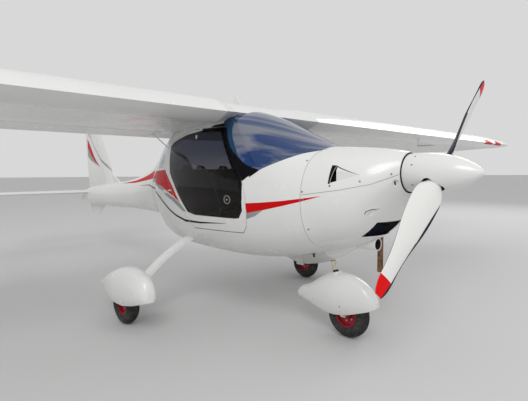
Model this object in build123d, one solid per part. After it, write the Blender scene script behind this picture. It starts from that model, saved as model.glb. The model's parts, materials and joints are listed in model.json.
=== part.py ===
"""Two-seat high-wing microlight aeroplane with a tricycle undercarriage.

Millimetres. +X to the nose, +Y to port, +Z up, ground at Z = 0, origin under the
middle of the bounding box. Stations called "aft" are measured back from the
propeller plane.
"""
from math import atan2, cos, hypot, radians, sin

from build123d import *

import os

os.makedirs("parts", exist_ok=True)

# Overall
SPINNER_TIP = 244.0  # ahead of the propeller plane
TAIL_AFT = 5800.0  # elevator trailing edge
PROP_X = (TAIL_AFT - SPINNER_TIP) / 2
HALF_SPAN = 5475.0
SURFACE_GAP = 8.0  # round every control surface
DOOR_GAP = 5.0
SEAT_GAP = 0.3  # between a moving piece and what carries it

# Propeller and spinner
PROP_Z = 1132.0
PROP_RADIUS = 850.0
PROP_PARK = 46.5  # blade angle from vertical, top blade to port
SPINNER_R = 116.0
SPINNER_BASE = 170.0  # aft of the propeller plane
SPINNER_WALL = 3.0
HUB_HALF = 52.0
HUB_R = 40.0

# Fuselage
POD_WALL = 12.0
BOOM_WALL = 4.0
COWL_WALL = 4.0
GLASS = 5.0
COWL_FRONT = 175.0
FIREWALL = 700.0
AFT_BULKHEAD = 2950.0
BOOM_END = 5687.0

# Wing
WING_LE = 1306.0
WING_TE = 2632.0
WING_LE_Z = 1576.0
WING_TE_Z = 1484.0
WING_ROOT = 500.0
CENTRE_HALF = 280.0  # where the leading edge starts to sweep back to the windscreen
CENTRE_LE = 1480.0
TIP_START = 4800.0
HINGE_AFT = 2195.0
HINGE_NOSE_R = 68.0
FLAP_IN = 560.0
FLAP_OUT = 2700.0
AILERON_IN = 2745.0
AILERON_OUT = 4760.0
SKIN = 3.0
PIN_R = 8.0
DOOR_HINGE_Y = 446.0
DOOR_HINGE_Z = 1490.0

# Undercarriage
WHEEL_R = 160.0
WHEEL_W = 100.0
RIM_R = 84.0
AXLE_R = 10.0
NOSE_AFT = 615.0
MAIN_AFT = 1927.0
HALF_TRACK = 1018.0
STRUT_RAKE = 18.6
STRUT_R = 19.0
PANT_WALL = 4.0
FORK_TOP = 350.0
FORK_HALF = 56.0
FORK_T = 8.0

# Tail
STAB_Z = 865.0
STAB_HALF = 1250.0
STAB_LE = 5240.0
ELEVATOR_HINGE = 5560.0
FIN_TOP = 2090.0
RUDDER_FOOT = 995.0


def fx(aft):
    """X of a station behind the propeller plane."""
    return PROP_X - aft


def save(shape, name):
    export_step(shape, f"parts/{name}.step")


def prism(points, axis, low, high):
    """Straight-sided prism over a polygon; axis 'y' takes (aft, z), 'x' takes (y, z), 'z' takes (aft, y)."""
    lift = {"y": lambda a, b: (fx(a), low, b), "x": lambda a, b: (low, a, b), "z": lambda a, b: (fx(a), b, low)}[axis]
    step = {"y": (0, high - low, 0), "x": (high - low, 0, 0), "z": (0, 0, high - low)}[axis]
    face = Face(Wire.make_polygon([lift(*p) for p in points], close=True))
    return Solid.extrude(face, Vector(*step))


def block(aft_a, aft_b, y_a, y_b, z_a, z_b):
    """Box between two stations, two sides and two heights."""
    return prism([(aft_a, z_a), (aft_b, z_a), (aft_b, z_b), (aft_a, z_b)], "y", y_a, y_b)


def rod(start, end, radius):
    """Round bar between two points."""
    a, b = Vector(*start), Vector(*end)
    return Solid.make_cylinder(radius, (b - a).length, Plane(origin=a, z_dir=b - a))


def both(shape):
    """The port piece and its starboard mirror."""
    return shape, shape.mirror(Plane.XZ)


# Body sections: tangent arcs meeting where the normal is 25 and 65 degrees up.
LOW_ANGLE, HIGH_ANGLE = radians(25), radians(65)


def quadrant(half, height, corner):
    """Radii of the side and crown arcs that join a corner arc of the given radius."""
    c1, s1, c2, s2 = cos(LOW_ANGLE), sin(LOW_ANGLE), cos(HIGH_ANGLE), sin(HIGH_ANGLE)
    p, q = half - corner * (c1 - c2), height - corner * (s2 - s1)
    det = c2 * s1 - (1 - s2) * (1 - c1)
    crown = (p * s1 - (1 - c1) * q) / det
    side = (c2 * q - (1 - s2) * p) / det
    return side, crown


def ring(aft, half, z_low, z_mid, z_high, full, inset=0.0, y_mid=0.0):
    """Closed section of ten tangent arcs across the body."""
    half, z_low, z_high = half - inset, z_low + inset, z_high - inset
    x = fx(aft)
    marks = []
    for height, sign in ((z_high - z_mid, 1), (z_mid - z_low, -1)):
        corner = full * min(half, height)
        side, crown = quadrant(half, height, corner)

        def at(cy, cz, r, angle):
            return cy + r * cos(angle), z_mid + sign * (cz + r * sin(angle))

        sy = half - side
        cy, cz = sy + (side - corner) * cos(LOW_ANGLE), (side - corner) * sin(LOW_ANGLE)
        marks.append([at(sy, 0, side, LOW_ANGLE / 2), at(sy, 0, side, LOW_ANGLE),
                      at(cy, cz, corner, (LOW_ANGLE + HIGH_ANGLE) / 2), at(cy, cz, corner, HIGH_ANGLE)])
    up, down = marks
    right = [(half, z_mid), *up]
    path = right + [(0, z_high)] + [(-y, z) for y, z in reversed(right)]
    lower = [(half, z_mid), *down]
    path += [(-y, z) for y, z in lower[1:]] + [(0, z_low)] + list(reversed(lower))
    pts = [Vector(x, y_mid + y, z) for y, z in path]
    edges = [Edge.make_three_point_arc(pts[i], pts[i + 1], pts[i + 2]) for i in range(0, len(pts) - 2, 2)]
    return Wire(edges)


def body(table, inset=0.0, y_mid=0.0, ruled=False):
    """Smooth skin through the table's sections."""
    return Solid.make_loft([ring(*row, inset=inset, y_mid=y_mid) for row in table], ruled)


# Pod and boom: aft, half width, bottom, widest height, top, corner fullness
POD = [
    (700, 400, 602, 960, 1315, 0.72),
    (900, 452, 543, 972, 1385, 0.66),
    (1150, 508, 490, 985, 1497, 0.60),
    (1500, 556, 457, 1000, 1634, 0.52),
    (1900, 566, 455, 1005, 1680, 0.50),
    (2300, 515, 476, 1005, 1600, 0.55),
    (2600, 400, 555, 995, 1490, 0.66),
    (2950, 250, 665, 965, 1345, 0.80),
    (3350, 172, 693, 930, 1180, 0.90),
    (4300, 138, 692, 860, 1026, 0.95),
    (5687, 62, 700, 782, 862, 0.95),
]
# Cowling
COWL = [
    (175, 126, 1006, PROP_Z, 1258, 0.999),
    (250, 205, 868, 1085, 1273, 0.90),
    (360, 288, 735, 1020, 1288, 0.80),
    (500, 348, 655, 985, 1301, 0.75),
    (700, 400, 602, 960, 1315, 0.72),
]


def aerofoil(le, te, le_z, te_z, y, inset=0.0, thick=1.0):
    """Wing section of five edges, drawn on the chord line from leading to trailing edge."""
    chord = hypot(te - le, le_z - te_z)
    slope = atan2(te_z - le_z, te - le)

    def at(along, up):
        a, u = along * chord, up * chord * thick
        return Vector(fx(le + a * cos(slope) - u * sin(slope)), y, le_z + a * sin(slope) + u * cos(slope))

    n = inset / chord
    nose, tail = at(n, 0.0), 1.0 - 12 * n
    top = [at(0.09, 0.072 - n), at(0.33, 0.117 - n), at(0.66, 0.084 - n), at(tail, 0.0025 + 3 * n)]
    low = [at(0.05, -0.022 + n), at(0.22, -0.030 + n), at(0.62, -0.020 + n), at(tail, -0.0015 + 2 * n)]
    return Wire([
        Edge.make_three_point_arc(nose, top[0], top[1]),
        Edge.make_three_point_arc(top[1], top[2], top[3]),
        Edge.make_line(top[3], low[3]),
        Edge.make_three_point_arc(low[3], low[2], low[1]),
        Edge.make_three_point_arc(low[1], low[0], nose),
    ])


# Wing tip: y, leading edge, trailing edge, leading edge height, trailing edge height, thickness factor
TIP = [
    (TIP_START, 1306, 2632, 1576, 1484, 1.00),
    (5050, 1307, 2430, 1577, 1492, 1.00),
    (5230, 1310, 2130, 1579, 1510, 1.05),
    (5370, 1320, 1830, 1582, 1535, 1.05),
    (5475, 1375, 1520, 1586, 1572, 1.00),
]


def slab(table, inset=0.0):
    """Ruled skin through wing sections."""
    wires = [aerofoil(le, te, le_z, te_z, y, inset, thick) for y, le, te, le_z, te_z, thick in table]
    return Solid.make_loft(wires, True)


def hinge_zone(aft, z, radius, y_a, y_b, reach):
    """Space of a surface hinged along Y: everything behind the axis plus a round nose."""
    nose = rod((fx(aft), y_a, z), (fx(aft), y_b, z), radius)
    return nose + block(aft, aft + reach, y_a, y_b, z - 400, z + 400)


# Fuselage pod
pod = body([row for row in POD if row[0] <= AFT_BULKHEAD])
boom_skin = body([row for row in POD if row[0] >= AFT_BULKHEAD])
centre_table = [
    (-WING_ROOT, WING_LE, WING_TE, WING_LE_Z, WING_TE_Z, 1.0),
    (-CENTRE_HALF, CENTRE_LE, WING_TE, 1610, WING_TE_Z, 1.0),
    (CENTRE_HALF, CENTRE_LE, WING_TE, 1610, WING_TE_Z, 1.0),
    (WING_ROOT, WING_LE, WING_TE, WING_LE_Z, WING_TE_Z, 1.0),
]
centre = slab(centre_table)
cabin_void = body([row for row in POD if row[0] <= AFT_BULKHEAD], POD_WALL) - centre
cabin_void = cabin_void & block(FIREWALL - 50, AFT_BULKHEAD - POD_WALL, -900, 900, 300, 1900)
shell = pod.cut(cabin_void, centre)

# Window and door outlines in side view: aft, height
WINDSCREEN = [(655, 1420), (655, 1296), (775, 1262), (1000, 1168), (1100, 1112), (1150, 1168), (1236, 1268),
              (1350, 1420), (1412, 1510), (1490, 1580), (1530, 1600), (1530, 1760), (900, 1700)]
DOOR = [(1160, 1092), (1126, 975), (1126, 860), (1148, 762), (1195, 712), (1750, 703), (1850, 812), (2100, 1088),
        (2192, 1166), (2198, 1390), (1860, 1484), (1520, 1484), (1442, 1480)]
DOOR_GLASS = [(1186, 1074), (1154, 975), (1158, 872), (1200, 816), (1704, 812), (1816, 890), (2058, 1140),
              (2150, 1370), (1840, 1456), (1545, 1456), (1470, 1450)]
REAR_WINDOW = [(2240, 1182), (2900, 1182), (2900, 1500), (2330, 1500), (2236, 1410)]


def outline_points(points, amount):
    """Outline offset by hand: each side moved out and met with the next."""
    n, area = len(points), 0.0
    for i in range(n):
        (x0, y0), (x1, y1) = points[i], points[(i + 1) % n]
        area += x0 * y1 - x1 * y0
    sign = 1 if area > 0 else -1
    lines = []
    for i in range(n):
        (x0, y0), (x1, y1) = points[i], points[(i + 1) % n]
        d = hypot(x1 - x0, y1 - y0)
        nx, ny = sign * (y1 - y0) / d, -sign * (x1 - x0) / d
        lines.append((x0 + nx * amount, y0 + ny * amount, (x1 - x0) / d, (y1 - y0) / d))
    out = []
    for i in range(n):
        x0, y0, u0, v0 = lines[i - 1]
        x1, y1, u1, v1 = lines[i]
        t = ((x1 - x0) * v1 - (y1 - y0) * u1) / (u0 * v1 - v0 * u1)
        out.append((x0 + t * u0, y0 + t * v0))
    return out


door_hole = prism(outline_points(DOOR, DOOR_GAP), "y", 150, 900)
door_space = prism(DOOR, "y", 150, 900)
glass_space = prism(DOOR_GLASS, "y", 150, 900)
screen_space = prism(WINDSCREEN, "y", -900, 900)
rear_space = prism(REAR_WINDOW, "y", -900, 900)
glass_skin = pod - body([row for row in POD if row[0] <= AFT_BULKHEAD], GLASS) - centre

# Rebate inside the top edge of the door: the lip that it leaves swings clear of the roof
DOOR_TOP = [(2230, 1381), (1860, 1484), (1500, 1484)]
DOOR_LIP, DOOR_REBATE = 3.0, 10.0
rebate = prism([(aft, z + DOOR_GAP) for aft, z in DOOR_TOP] + [(aft, z - DOOR_REBATE) for aft, z in reversed(DOOR_TOP)],
               "y", 150, 900)
rebate = rebate & body([row for row in POD if row[0] <= AFT_BULKHEAD], DOOR_LIP)

door_panel = shell & door_space
door_glass = door_panel & glass_space & glass_skin
door_frame = door_panel - glass_space - rebate
windscreen = glass_skin & screen_space
rear_window = glass_skin & rear_space

# Gooseneck hinges: barrel, neck inside the roof's edge and foot on the door
BARREL_R = 6.0
NECK_Y, NECK_OUT, FOOT_OUT = -14.0, -1.0, 14.0  # from the hinge line
NECK_TOP, FOOT_TOP, FOOT_LOW = -3.0, -15.0, -22.0
for aft_a, aft_b in ((1690, 1740), (1800, 1850)):
    barrel = rod((fx(aft_a), DOOR_HINGE_Y, DOOR_HINGE_Z), (fx(aft_b), DOOR_HINGE_Y, DOOR_HINGE_Z), BARREL_R)
    neck = block(aft_a, aft_b, DOOR_HINGE_Y + NECK_Y, DOOR_HINGE_Y + NECK_OUT,
                 DOOR_HINGE_Z + FOOT_LOW, DOOR_HINGE_Z + NECK_TOP)
    foot = block(aft_a, aft_b, DOOR_HINGE_Y + NECK_Y, DOOR_HINGE_Y + FOOT_OUT,
                 DOOR_HINGE_Z + FOOT_LOW, DOOR_HINGE_Z + FOOT_TOP)
    door_frame = door_frame + (neck + foot + barrel)
    for s in (-1, 1):
        recess = rod((fx(aft_a - 1), s * DOOR_HINGE_Y, DOOR_HINGE_Z), (fx(aft_b + 1), s * DOOR_HINGE_Y, DOOR_HINGE_Z),
                     BARREL_R + SEAT_GAP)
        shell = shell - recess

frame = shell - screen_space - rear_space - door_hole - door_hole.mirror(Plane.XZ)
# Moulded shell split where its panels meet
BELLY_TOP = 716.0
belly = frame & block(FIREWALL, AFT_BULKHEAD, -900, 900, 300, BELLY_TOP)
upper = frame - block(FIREWALL - 1, AFT_BULKHEAD + 1, -900, 900, 300, BELLY_TOP)
nose_shell = upper & block(FIREWALL, 1445, -900, 900, BELLY_TOP, 1900)
rear_shell = upper & block(1445, AFT_BULKHEAD, -900, 900, BELLY_TOP, 1900)

boom_void = body([row for row in POD if row[0] >= AFT_BULKHEAD], BOOM_WALL)
boom = boom_skin - (boom_void & block(AFT_BULKHEAD + 6, BOOM_END - 40, -900, 900, 300, 1900))

# Centre section, hollow
centre_void = slab([
    (-WING_ROOT + SKIN, WING_LE, WING_TE, WING_LE_Z, WING_TE_Z, 1.0),
    (-CENTRE_HALF, CENTRE_LE, WING_TE, 1610, WING_TE_Z, 1.0),
    (CENTRE_HALF, CENTRE_LE, WING_TE, 1610, WING_TE_Z, 1.0),
    (WING_ROOT - SKIN, WING_LE, WING_TE, WING_LE_Z, WING_TE_Z, 1.0),
], SKIN)
centre_section = centre - centre_void

# Wing panel
wing_full = slab([(WING_ROOT, WING_LE, WING_TE, WING_LE_Z, WING_TE_Z, 1.0)] + TIP)
wing_void = slab([(WING_ROOT + 8, WING_LE, WING_TE, WING_LE_Z, WING_TE_Z, 1.0)] + TIP[:4], SKIN)
HINGE_Z = WING_LE_Z + (HINGE_AFT - WING_LE) / (WING_TE - WING_LE) * (WING_TE_Z - WING_LE_Z) + 42.0
reach = 600.0
cove_depth = HINGE_NOSE_R + SURFACE_GAP
pieces, bays, bay_walls = {}, [], []
for name, y_a, y_b in (("flap", FLAP_IN, FLAP_OUT), ("aileron", AILERON_IN, AILERON_OUT)):
    zone = hinge_zone(HINGE_AFT, HINGE_Z, HINGE_NOSE_R, y_a, y_b, reach)
    solid = wing_full & zone
    inner = wing_void & hinge_zone(HINGE_AFT, HINGE_Z, HINGE_NOSE_R - 4, y_a + 6, y_b - 6, reach)
    pin = rod((fx(HINGE_AFT), y_a - SURFACE_GAP + SEAT_GAP, HINGE_Z),
              (fx(HINGE_AFT), y_b + SURFACE_GAP - SEAT_GAP, HINGE_Z), PIN_R)
    pieces[name] = solid - inner + pin
    bays.append(hinge_zone(HINGE_AFT, HINGE_Z, cove_depth, y_a - SURFACE_GAP, y_b + SURFACE_GAP, reach))
    bay_walls.append(hinge_zone(HINGE_AFT, HINGE_Z, cove_depth + SKIN, y_a - SURFACE_GAP - SKIN,
                                y_b + SURFACE_GAP + SKIN, reach))
wing = wing_full.cut(*bays).cut(wing_void.cut(*bay_walls))


# Tail surfaces: symmetrical sections
def symmetric(le, te, level, thick, place, inset=0.0):
    """Symmetrical section of seven edges; place(aft, out) gives the point."""
    le, half = le + inset, thick / 2 - inset
    te = te - 8 * inset
    peak = le + 0.3 * (te - le)
    tail = 2.0
    a = [place(le, 0), place(le + 0.08 * (te - le), half * 0.66), place(peak, half),
         place(te, tail), place(te, -tail), place(peak, -half), place(le + 0.08 * (te - le), -half * 0.66)]
    return Wire([
        Edge.make_three_point_arc(a[0], a[1], a[2]), Edge.make_line(a[2], a[3]), Edge.make_line(a[3], a[4]),
        Edge.make_line(a[4], a[5]), Edge.make_three_point_arc(a[5], a[6], a[0]),
    ])


def fin_wire(le, te, z, thick, inset=0.0):
    return symmetric(le, te, z, thick, lambda a, out: Vector(fx(a), out, z), inset)


def stab_wire(le, te, y, thick, inset=0.0):
    return symmetric(le, te, y, thick, lambda a, out: Vector(fx(a), y, STAB_Z + out), inset)


RUDDER_HINGE = [(5262.0, RUDDER_FOOT), (5425.0, FIN_TOP)]
# z, leading edge, trailing edge, thickness
FIN = [(900, 4480, 5486, 74), (1140, 4575, 5512, 70), (1720, 4972, 5580, 52), (2050, 5200, 5619, 42),
       (FIN_TOP, 5270, 5615, 34)]
fin_full = Solid.make_loft([fin_wire(le, te, z, t) for z, le, te, t in FIN], True)
fin_void = Solid.make_loft([fin_wire(le, te, z, t, 2.5) for z, le, te, t in
                            [(1030, 4531, 5500, 72), *FIN[1:4]]], True)
h0 = Vector(fx(RUDDER_HINGE[0][0]), 0, RUDDER_FOOT)
h1 = Vector(fx(RUDDER_HINGE[1][0]), 0, FIN_TOP)
hinge_dir = (h1 - h0).normalized()
RUDDER_NOSE_R = 21.0


def rudder_zone(radius, z_low):
    """Space behind the raked rudder hinge, with a round nose, above a height."""
    a, b = h0 - hinge_dir * 200, h1 + hinge_dir * 60
    behind = prism([(PROP_X - a.X, a.Z), (PROP_X - b.X, b.Z), (6200, b.Z), (6200, a.Z)], "y", -200, 200)
    nose = rod(tuple(a), tuple(b), radius)
    return (nose + behind) & block(4000, 6300, -200, 200, z_low, 2300)


pin_foot = SURFACE_GAP - SEAT_GAP - PIN_R * abs(hinge_dir.X)  # keeps the raked pin's end off the fin
rudder_pin = rod(tuple(h0 - hinge_dir * pin_foot), tuple(h0 + hinge_dir * 60), PIN_R)
rudder = (fin_full & rudder_zone(RUDDER_NOSE_R, RUDDER_FOOT)) - (
    fin_void & rudder_zone(0.1, RUDDER_FOOT + 6) & block(5300, 6300, -200, 200, 1030, 2040)) + (
    rudder_pin & block(5000, 5600, -50, 50, RUDDER_FOOT - SURFACE_GAP, RUDDER_FOOT + 50))
fin = fin_full - rudder_zone(RUDDER_NOSE_R + SURFACE_GAP, RUDDER_FOOT - SURFACE_GAP)
fin = fin - (fin_void - rudder_zone(RUDDER_NOSE_R + SURFACE_GAP + 3, 300)) - boom_skin

# Low dorsal fillet that runs the leading edge into the boom
DORSAL, DORSAL_HALF = [(4310, 1000), (4640, 1000), (4640, 1300), (4560, 1118), (4430, 1062)], 9.0
fin = fin + (prism(DORSAL, "y", -DORSAL_HALF, DORSAL_HALF) - fin_full - boom_skin)

# Tailplane
# y, leading edge, trailing edge, thickness
STAB = [(0, STAB_LE, TAIL_AFT, 56), (1190, STAB_LE + 60, TAIL_AFT - 4, 46),
        (STAB_HALF, STAB_LE + 130, TAIL_AFT - 30, 20)]


def tail_slab(rows, inset=0.0):
    half = [stab_wire(le, te, y, t, inset) for y, le, te, t in rows]
    return Solid.make_loft(half, True)


stab_port = tail_slab(STAB)
stab_void = tail_slab([(90, STAB_LE + 4, TAIL_AFT, 56), STAB[1]], 2.5)
ELEV_NOSE_R = 17.0
elev_in = 78.0
elev_zone = hinge_zone(ELEVATOR_HINGE, STAB_Z, ELEV_NOSE_R, elev_in, STAB_HALF + 10, 400)
elev_cut = hinge_zone(ELEVATOR_HINGE, STAB_Z, ELEV_NOSE_R + SURFACE_GAP, elev_in - 20, STAB_HALF + 10, 400)
elevator_port = (stab_port & elev_zone) - (stab_void & block(ELEVATOR_HINGE + 4, 5790, elev_in + 8, 1180, 700, 1000))
TORQUE_R = 12.0
hinge_x = fx(ELEVATOR_HINGE)
elevator_port = elevator_port + rod((hinge_x, 0, STAB_Z), (hinge_x, elev_in + 30, STAB_Z), TORQUE_R)
bearing = rod((hinge_x, -200, STAB_Z), (hinge_x, 200, STAB_Z), TORQUE_R + SEAT_GAP)
boom = boom - bearing
stab_port = stab_port - elev_cut - (stab_void - hinge_zone(ELEVATOR_HINGE, STAB_Z, ELEV_NOSE_R + 10, 0, 1300, 400))
stab_port = (stab_port & block(5000, ELEVATOR_HINGE + 1, 0, 1300, 700, 1000)) - boom_skin
stab_port = stab_port - bearing

# Ventral fin
ventral = prism([(4810, 720), (5470, 720), (5400, 560), (5240, 518), (5150, 530)], "y", -6, 6) - boom_skin


# Cowling
cowl = body(COWL) - (body(COWL, COWL_WALL) & block(COWL_FRONT - 1, FIREWALL + 1, -900, 900, 300, 1900))
shaft_hole = rod((fx(150), 0, PROP_Z), (fx(230), 0, PROP_Z), 60)
CHIN = [(-165, 737), (165, 737), (148, 834), (-148, 834)]
chin_cut = prism(CHIN, "x", fx(600), fx(150))
cowl = cowl - shaft_hole - (chin_cut & block(150, 520, -400, 400, 700, 900))
COWL_SEAM = [(100, 1150), (175, 1124), (212, 1104), (295, 1065), (447, 1032), (720, 993), (720, 1500), (100, 1500)]
cowl_top_space = prism(COWL_SEAM, "y", -600, 600)
cowl_upper, cowl_lower = cowl & cowl_top_space, cowl - cowl_top_space

# A round and a long dimple each side of the lower cowl: place and outward direction, port side
ROUND_DIMPLE = ((2584.0, 139.0, 1073.0), (0.788, 0.592, -0.170))
LONG_DIMPLE = ((2475.0, 208.0, 897.0), (0.725, 0.573, -0.383))
LONG_AXIS = (0.81, -0.385, 0.51)
ROUND_R = 21.0
LONG_LENGTH, LONG_WIDTH = 62.0, 30.0
DIMPLE_DEPTH, DIMPLE_WALL = 7.0, 3.0
DIMPLE_REACH = 30.0
cowl_solid = body(COWL)


def dimple(plane, shape, wide):
    """Cup inside the skin and the pocket cut from it; both are drawn on the plane of the skin."""
    cup = extrude(plane.offset(-DIMPLE_DEPTH - DIMPLE_WALL) * wide, DIMPLE_DEPTH + DIMPLE_WALL + DIMPLE_REACH)
    pocket = extrude(plane.offset(-DIMPLE_DEPTH) * shape, DIMPLE_DEPTH + DIMPLE_REACH)
    return cup & cowl_solid, pocket


round_plane = Plane(origin=ROUND_DIMPLE[0], z_dir=ROUND_DIMPLE[1])
long_plane = Plane(origin=LONG_DIMPLE[0], x_dir=LONG_AXIS, z_dir=LONG_DIMPLE[1])
dimples = [
    dimple(round_plane, Circle(ROUND_R), Circle(ROUND_R + DIMPLE_WALL)),
    dimple(long_plane, SlotOverall(LONG_LENGTH, LONG_WIDTH),
           SlotOverall(LONG_LENGTH + 2 * DIMPLE_WALL, LONG_WIDTH + 2 * DIMPLE_WALL)),
]
for cup, pocket in dimples:
    cowl_lower = (cowl_lower + cup + cup.mirror(Plane.XZ)).cut(pocket, pocket.mirror(Plane.XZ))

# Flush side inlets: a ramp that sinks into the upper cowl and ends in a throat
INLET = [(339, 1124), (500, 1178), (518, 1072)]
INLET_DEPTH = 30.0
INLET_THROAT = 24.0
ramp_y = [(339, 268), (490, 338 - INLET_DEPTH)]


def inlet_plan(inboard):
    """Plan outline from the ramp out through the skin."""
    return [(ramp_y[0][0] - inboard, ramp_y[0][1] - inboard), (ramp_y[1][0], ramp_y[1][1] - inboard),
            (ramp_y[1][0], 460), (ramp_y[0][0] - inboard, 460)]


walls = prism(outline_points(INLET, COWL_WALL), "y", 150, 460) & prism(inlet_plan(COWL_WALL), "z", 1000, 1250)
walls = walls & cowl_solid
scoop = prism(INLET, "y", 150, 460) & prism(inlet_plan(0.0), "z", 1000, 1250)
throat = prism(INLET, "y", 150, 460) & block(ramp_y[1][0] - 0.5, ramp_y[1][0] + INLET_THROAT, 150, 460, 1000, 1250)
for turn in (False, True):
    pocket, dip, slot = (walls, scoop, throat) if not turn else (
        walls.mirror(Plane.XZ), scoop.mirror(Plane.XZ), throat.mirror(Plane.XZ))
    cowl_upper = (cowl_upper + pocket).cut(dip, slot)

FIREWALL_T = 8.0
firewall = body([row for row in POD if row[0] <= 1500], POD_WALL + SEAT_GAP)
firewall = firewall & block(FIREWALL, FIREWALL + FIREWALL_T, -900, 900, 300, 1900)

# Engine as one plain block with its reduction gearbox
ENGINE = dict(front=400, back=FIREWALL - 60, half=240, low=860, high=1150)
engine = block(ENGINE["front"], ENGINE["back"], -ENGINE["half"], ENGINE["half"], ENGINE["low"], ENGINE["high"])
GEARBOX_FRONT, GEARBOX_HALF = 215.0, 70.0
engine = engine + block(GEARBOX_FRONT, ENGINE["front"], -GEARBOX_HALF, GEARBOX_HALF, 1020, 1215)
engine = engine + block(ENGINE["back"], FIREWALL, -60, 60, 900, 1100)

# Propeller
hub_axis = Vector(0, sin(radians(PROP_PARK)), cos(radians(PROP_PARK)))
hub_plane = Plane(origin=(fx(0), 0, PROP_Z), x_dir=(1, 0, 0), z_dir=hub_axis)
BLADE = [  # radius, chord, pitch degrees, thickness
    (HUB_HALF, 70, 52, 46), (110, 112, 46, 40), (160, 154, 40, 32), (250, 173, 32, 25), (340, 172, 26, 21),
    (430, 156, 22, 17), (520, 127, 19, 14), (700, 94, 15, 9), (815, 76, 13, 7), (PROP_RADIUS, 46, 12, 5),
]


def blade_wire(radius, chord, pitch, thick):
    """Blade section seen along the blade: a cambered back and a flat face."""
    t = radians(pitch)

    def at(along, up):
        lead = along * chord
        return hub_plane.from_local_coords(Vector(lead * sin(t) + up * cos(t), up * sin(t) - lead * cos(t), radius))

    a = [at(-0.5, -1.0), at(-0.1, -thick * 0.28), at(0.5, -1.0), at(0.5, 1.0), at(0.05, thick * 0.72), at(-0.5, 1.0)]
    return Wire([
        Edge.make_three_point_arc(a[0], a[1], a[2]), Edge.make_line(a[2], a[3]),
        Edge.make_three_point_arc(a[3], a[4], a[5]), Edge.make_line(a[5], a[0]),
    ])


blade_a = Solid.make_loft([blade_wire(*row) for row in BLADE], False)
blade_b = blade_a.rotate(Axis((fx(0), 0, PROP_Z), (1, 0, 0)), 180)
hub_face = Face(Wire.make_polygon([hub_plane.from_local_coords(Vector(a, b, -HUB_HALF)) for a, b in
                                   ((-HUB_R, -HUB_R), (HUB_R, -HUB_R), (HUB_R, HUB_R), (-HUB_R, HUB_R))], close=True))
hub = Solid.extrude(hub_face, hub_axis * (2 * HUB_HALF))
BACKPLATE_T, BACKPLATE_R = 4.0, (SPINNER_R - SPINNER_WALL) * 0.985 - 0.2
SHAFT_R = 45.0
backplate = rod((fx(SPINNER_BASE), 0, PROP_Z), (fx(SPINNER_BASE - BACKPLATE_T), 0, PROP_Z), BACKPLATE_R)
shaft = rod((fx(GEARBOX_FRONT - SEAT_GAP), 0, PROP_Z), (fx(SPINNER_BASE), 0, PROP_Z), SHAFT_R)
shaft_front = rod((fx(SPINNER_BASE - BACKPLATE_T), 0, PROP_Z), (fx(HUB_R), 0, PROP_Z), SHAFT_R)
hub = hub + shaft_front
backplate = backplate + shaft


def ogive(radius, tip, blunt):
    """Half profile of the spinner, revolved about the shaft."""
    base = Vector(fx(SPINNER_BASE), 0, PROP_Z)
    x = [SPINNER_BASE, 60, -70, -170, -tip + 8, -tip]
    r = [radius * 0.985, radius, radius * 0.84, radius * 0.52, blunt, 0]
    p = [Vector(fx(a), 0, PROP_Z + b) for a, b in zip(x, r)]
    wire = Wire([
        Edge.make_line(base, p[0]), Edge.make_three_point_arc(p[0], p[1], p[2]),
        Edge.make_three_point_arc(p[2], p[3], p[4]), Edge.make_line(p[4], p[5]), Edge.make_line(p[5], base)])
    return Solid.revolve(Face(wire), 360, Axis((fx(0), 0, PROP_Z), (1, 0, 0)))


spinner = ogive(SPINNER_R, SPINNER_TIP, 16) - ogive(SPINNER_R - SPINNER_WALL, SPINNER_TIP - 2 * SPINNER_WALL, 12)

# Slot with round ends in the spinner where a blade leaves it, in line with the blade's root
SLOT_HALF, SLOT_R = 34.0, 31.0
root_pitch = radians(BLADE[1][2])
along_root, across_root = (sin(root_pitch), -cos(root_pitch)), (cos(root_pitch), sin(root_pitch))


def root_point(along, across, out=0.0):
    x, y = (along * a + across * b for a, b in zip(along_root, across_root))
    return hub_plane.from_local_coords(Vector(x, y, out))


slot_face = Face(Wire.make_polygon([root_point(a, b) for a, b in (
    (-SLOT_HALF, -SLOT_R), (SLOT_HALF, -SLOT_R), (SLOT_HALF, SLOT_R), (-SLOT_HALF, SLOT_R))], close=True))
blade_slot = Solid.extrude(slot_face, hub_axis * 200)
for end in (-SLOT_HALF, SLOT_HALF):
    blade_slot = blade_slot + rod(tuple(root_point(end, 0)), tuple(root_point(end, 0, 200)), SLOT_R)
spinner = spinner - blade_slot - blade_slot.rotate(Axis((fx(0), 0, PROP_Z), (1, 0, 0)), 180)


# Wheels
def wheel(aft, y, z=WHEEL_R):
    """Tyre and rim about an axle along Y."""
    axis = Axis((fx(aft), y, z), (0, 1, 0))

    def spin(points, arcs=()):
        pts = [Vector(fx(aft), y + a, z + r) for a, r in points]
        edges, i = [], 0
        while i < len(pts):
            j = (i + 1) % len(pts)
            if i in arcs:
                k = (i + 2) % len(pts)
                edges.append(Edge.make_three_point_arc(pts[i], pts[j], pts[k]))
                i += 2
            else:
                edges.append(Edge.make_line(pts[i], pts[j]))
                i += 1
        return Solid.revolve(Face(Wire(edges)), 360, axis)

    w, r = WHEEL_W / 2, WHEEL_R
    tyre = spin([(-w * 0.7, RIM_R), (-w * 1.0, RIM_R + 34), (-w * 0.80, r - 17), (0, r), (w * 0.80, r - 17),
                 (w * 1.0, RIM_R + 34), (w * 0.7, RIM_R)], arcs=(0, 2, 4))
    b = AXLE_R + SEAT_GAP
    rim = spin([(-w * 0.7, RIM_R), (-w * 0.7, RIM_R - 8), (-w * 0.3, RIM_R - 14), (-w * 0.2, 30), (-w * 0.6, 26),
                (-w * 0.6, b), (w * 0.6, b), (w * 0.6, 26), (w * 0.2, 30), (w * 0.3, RIM_R - 14),
                (w * 0.7, RIM_R - 8), (w * 0.7, RIM_R)])
    return tyre, rim


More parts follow.
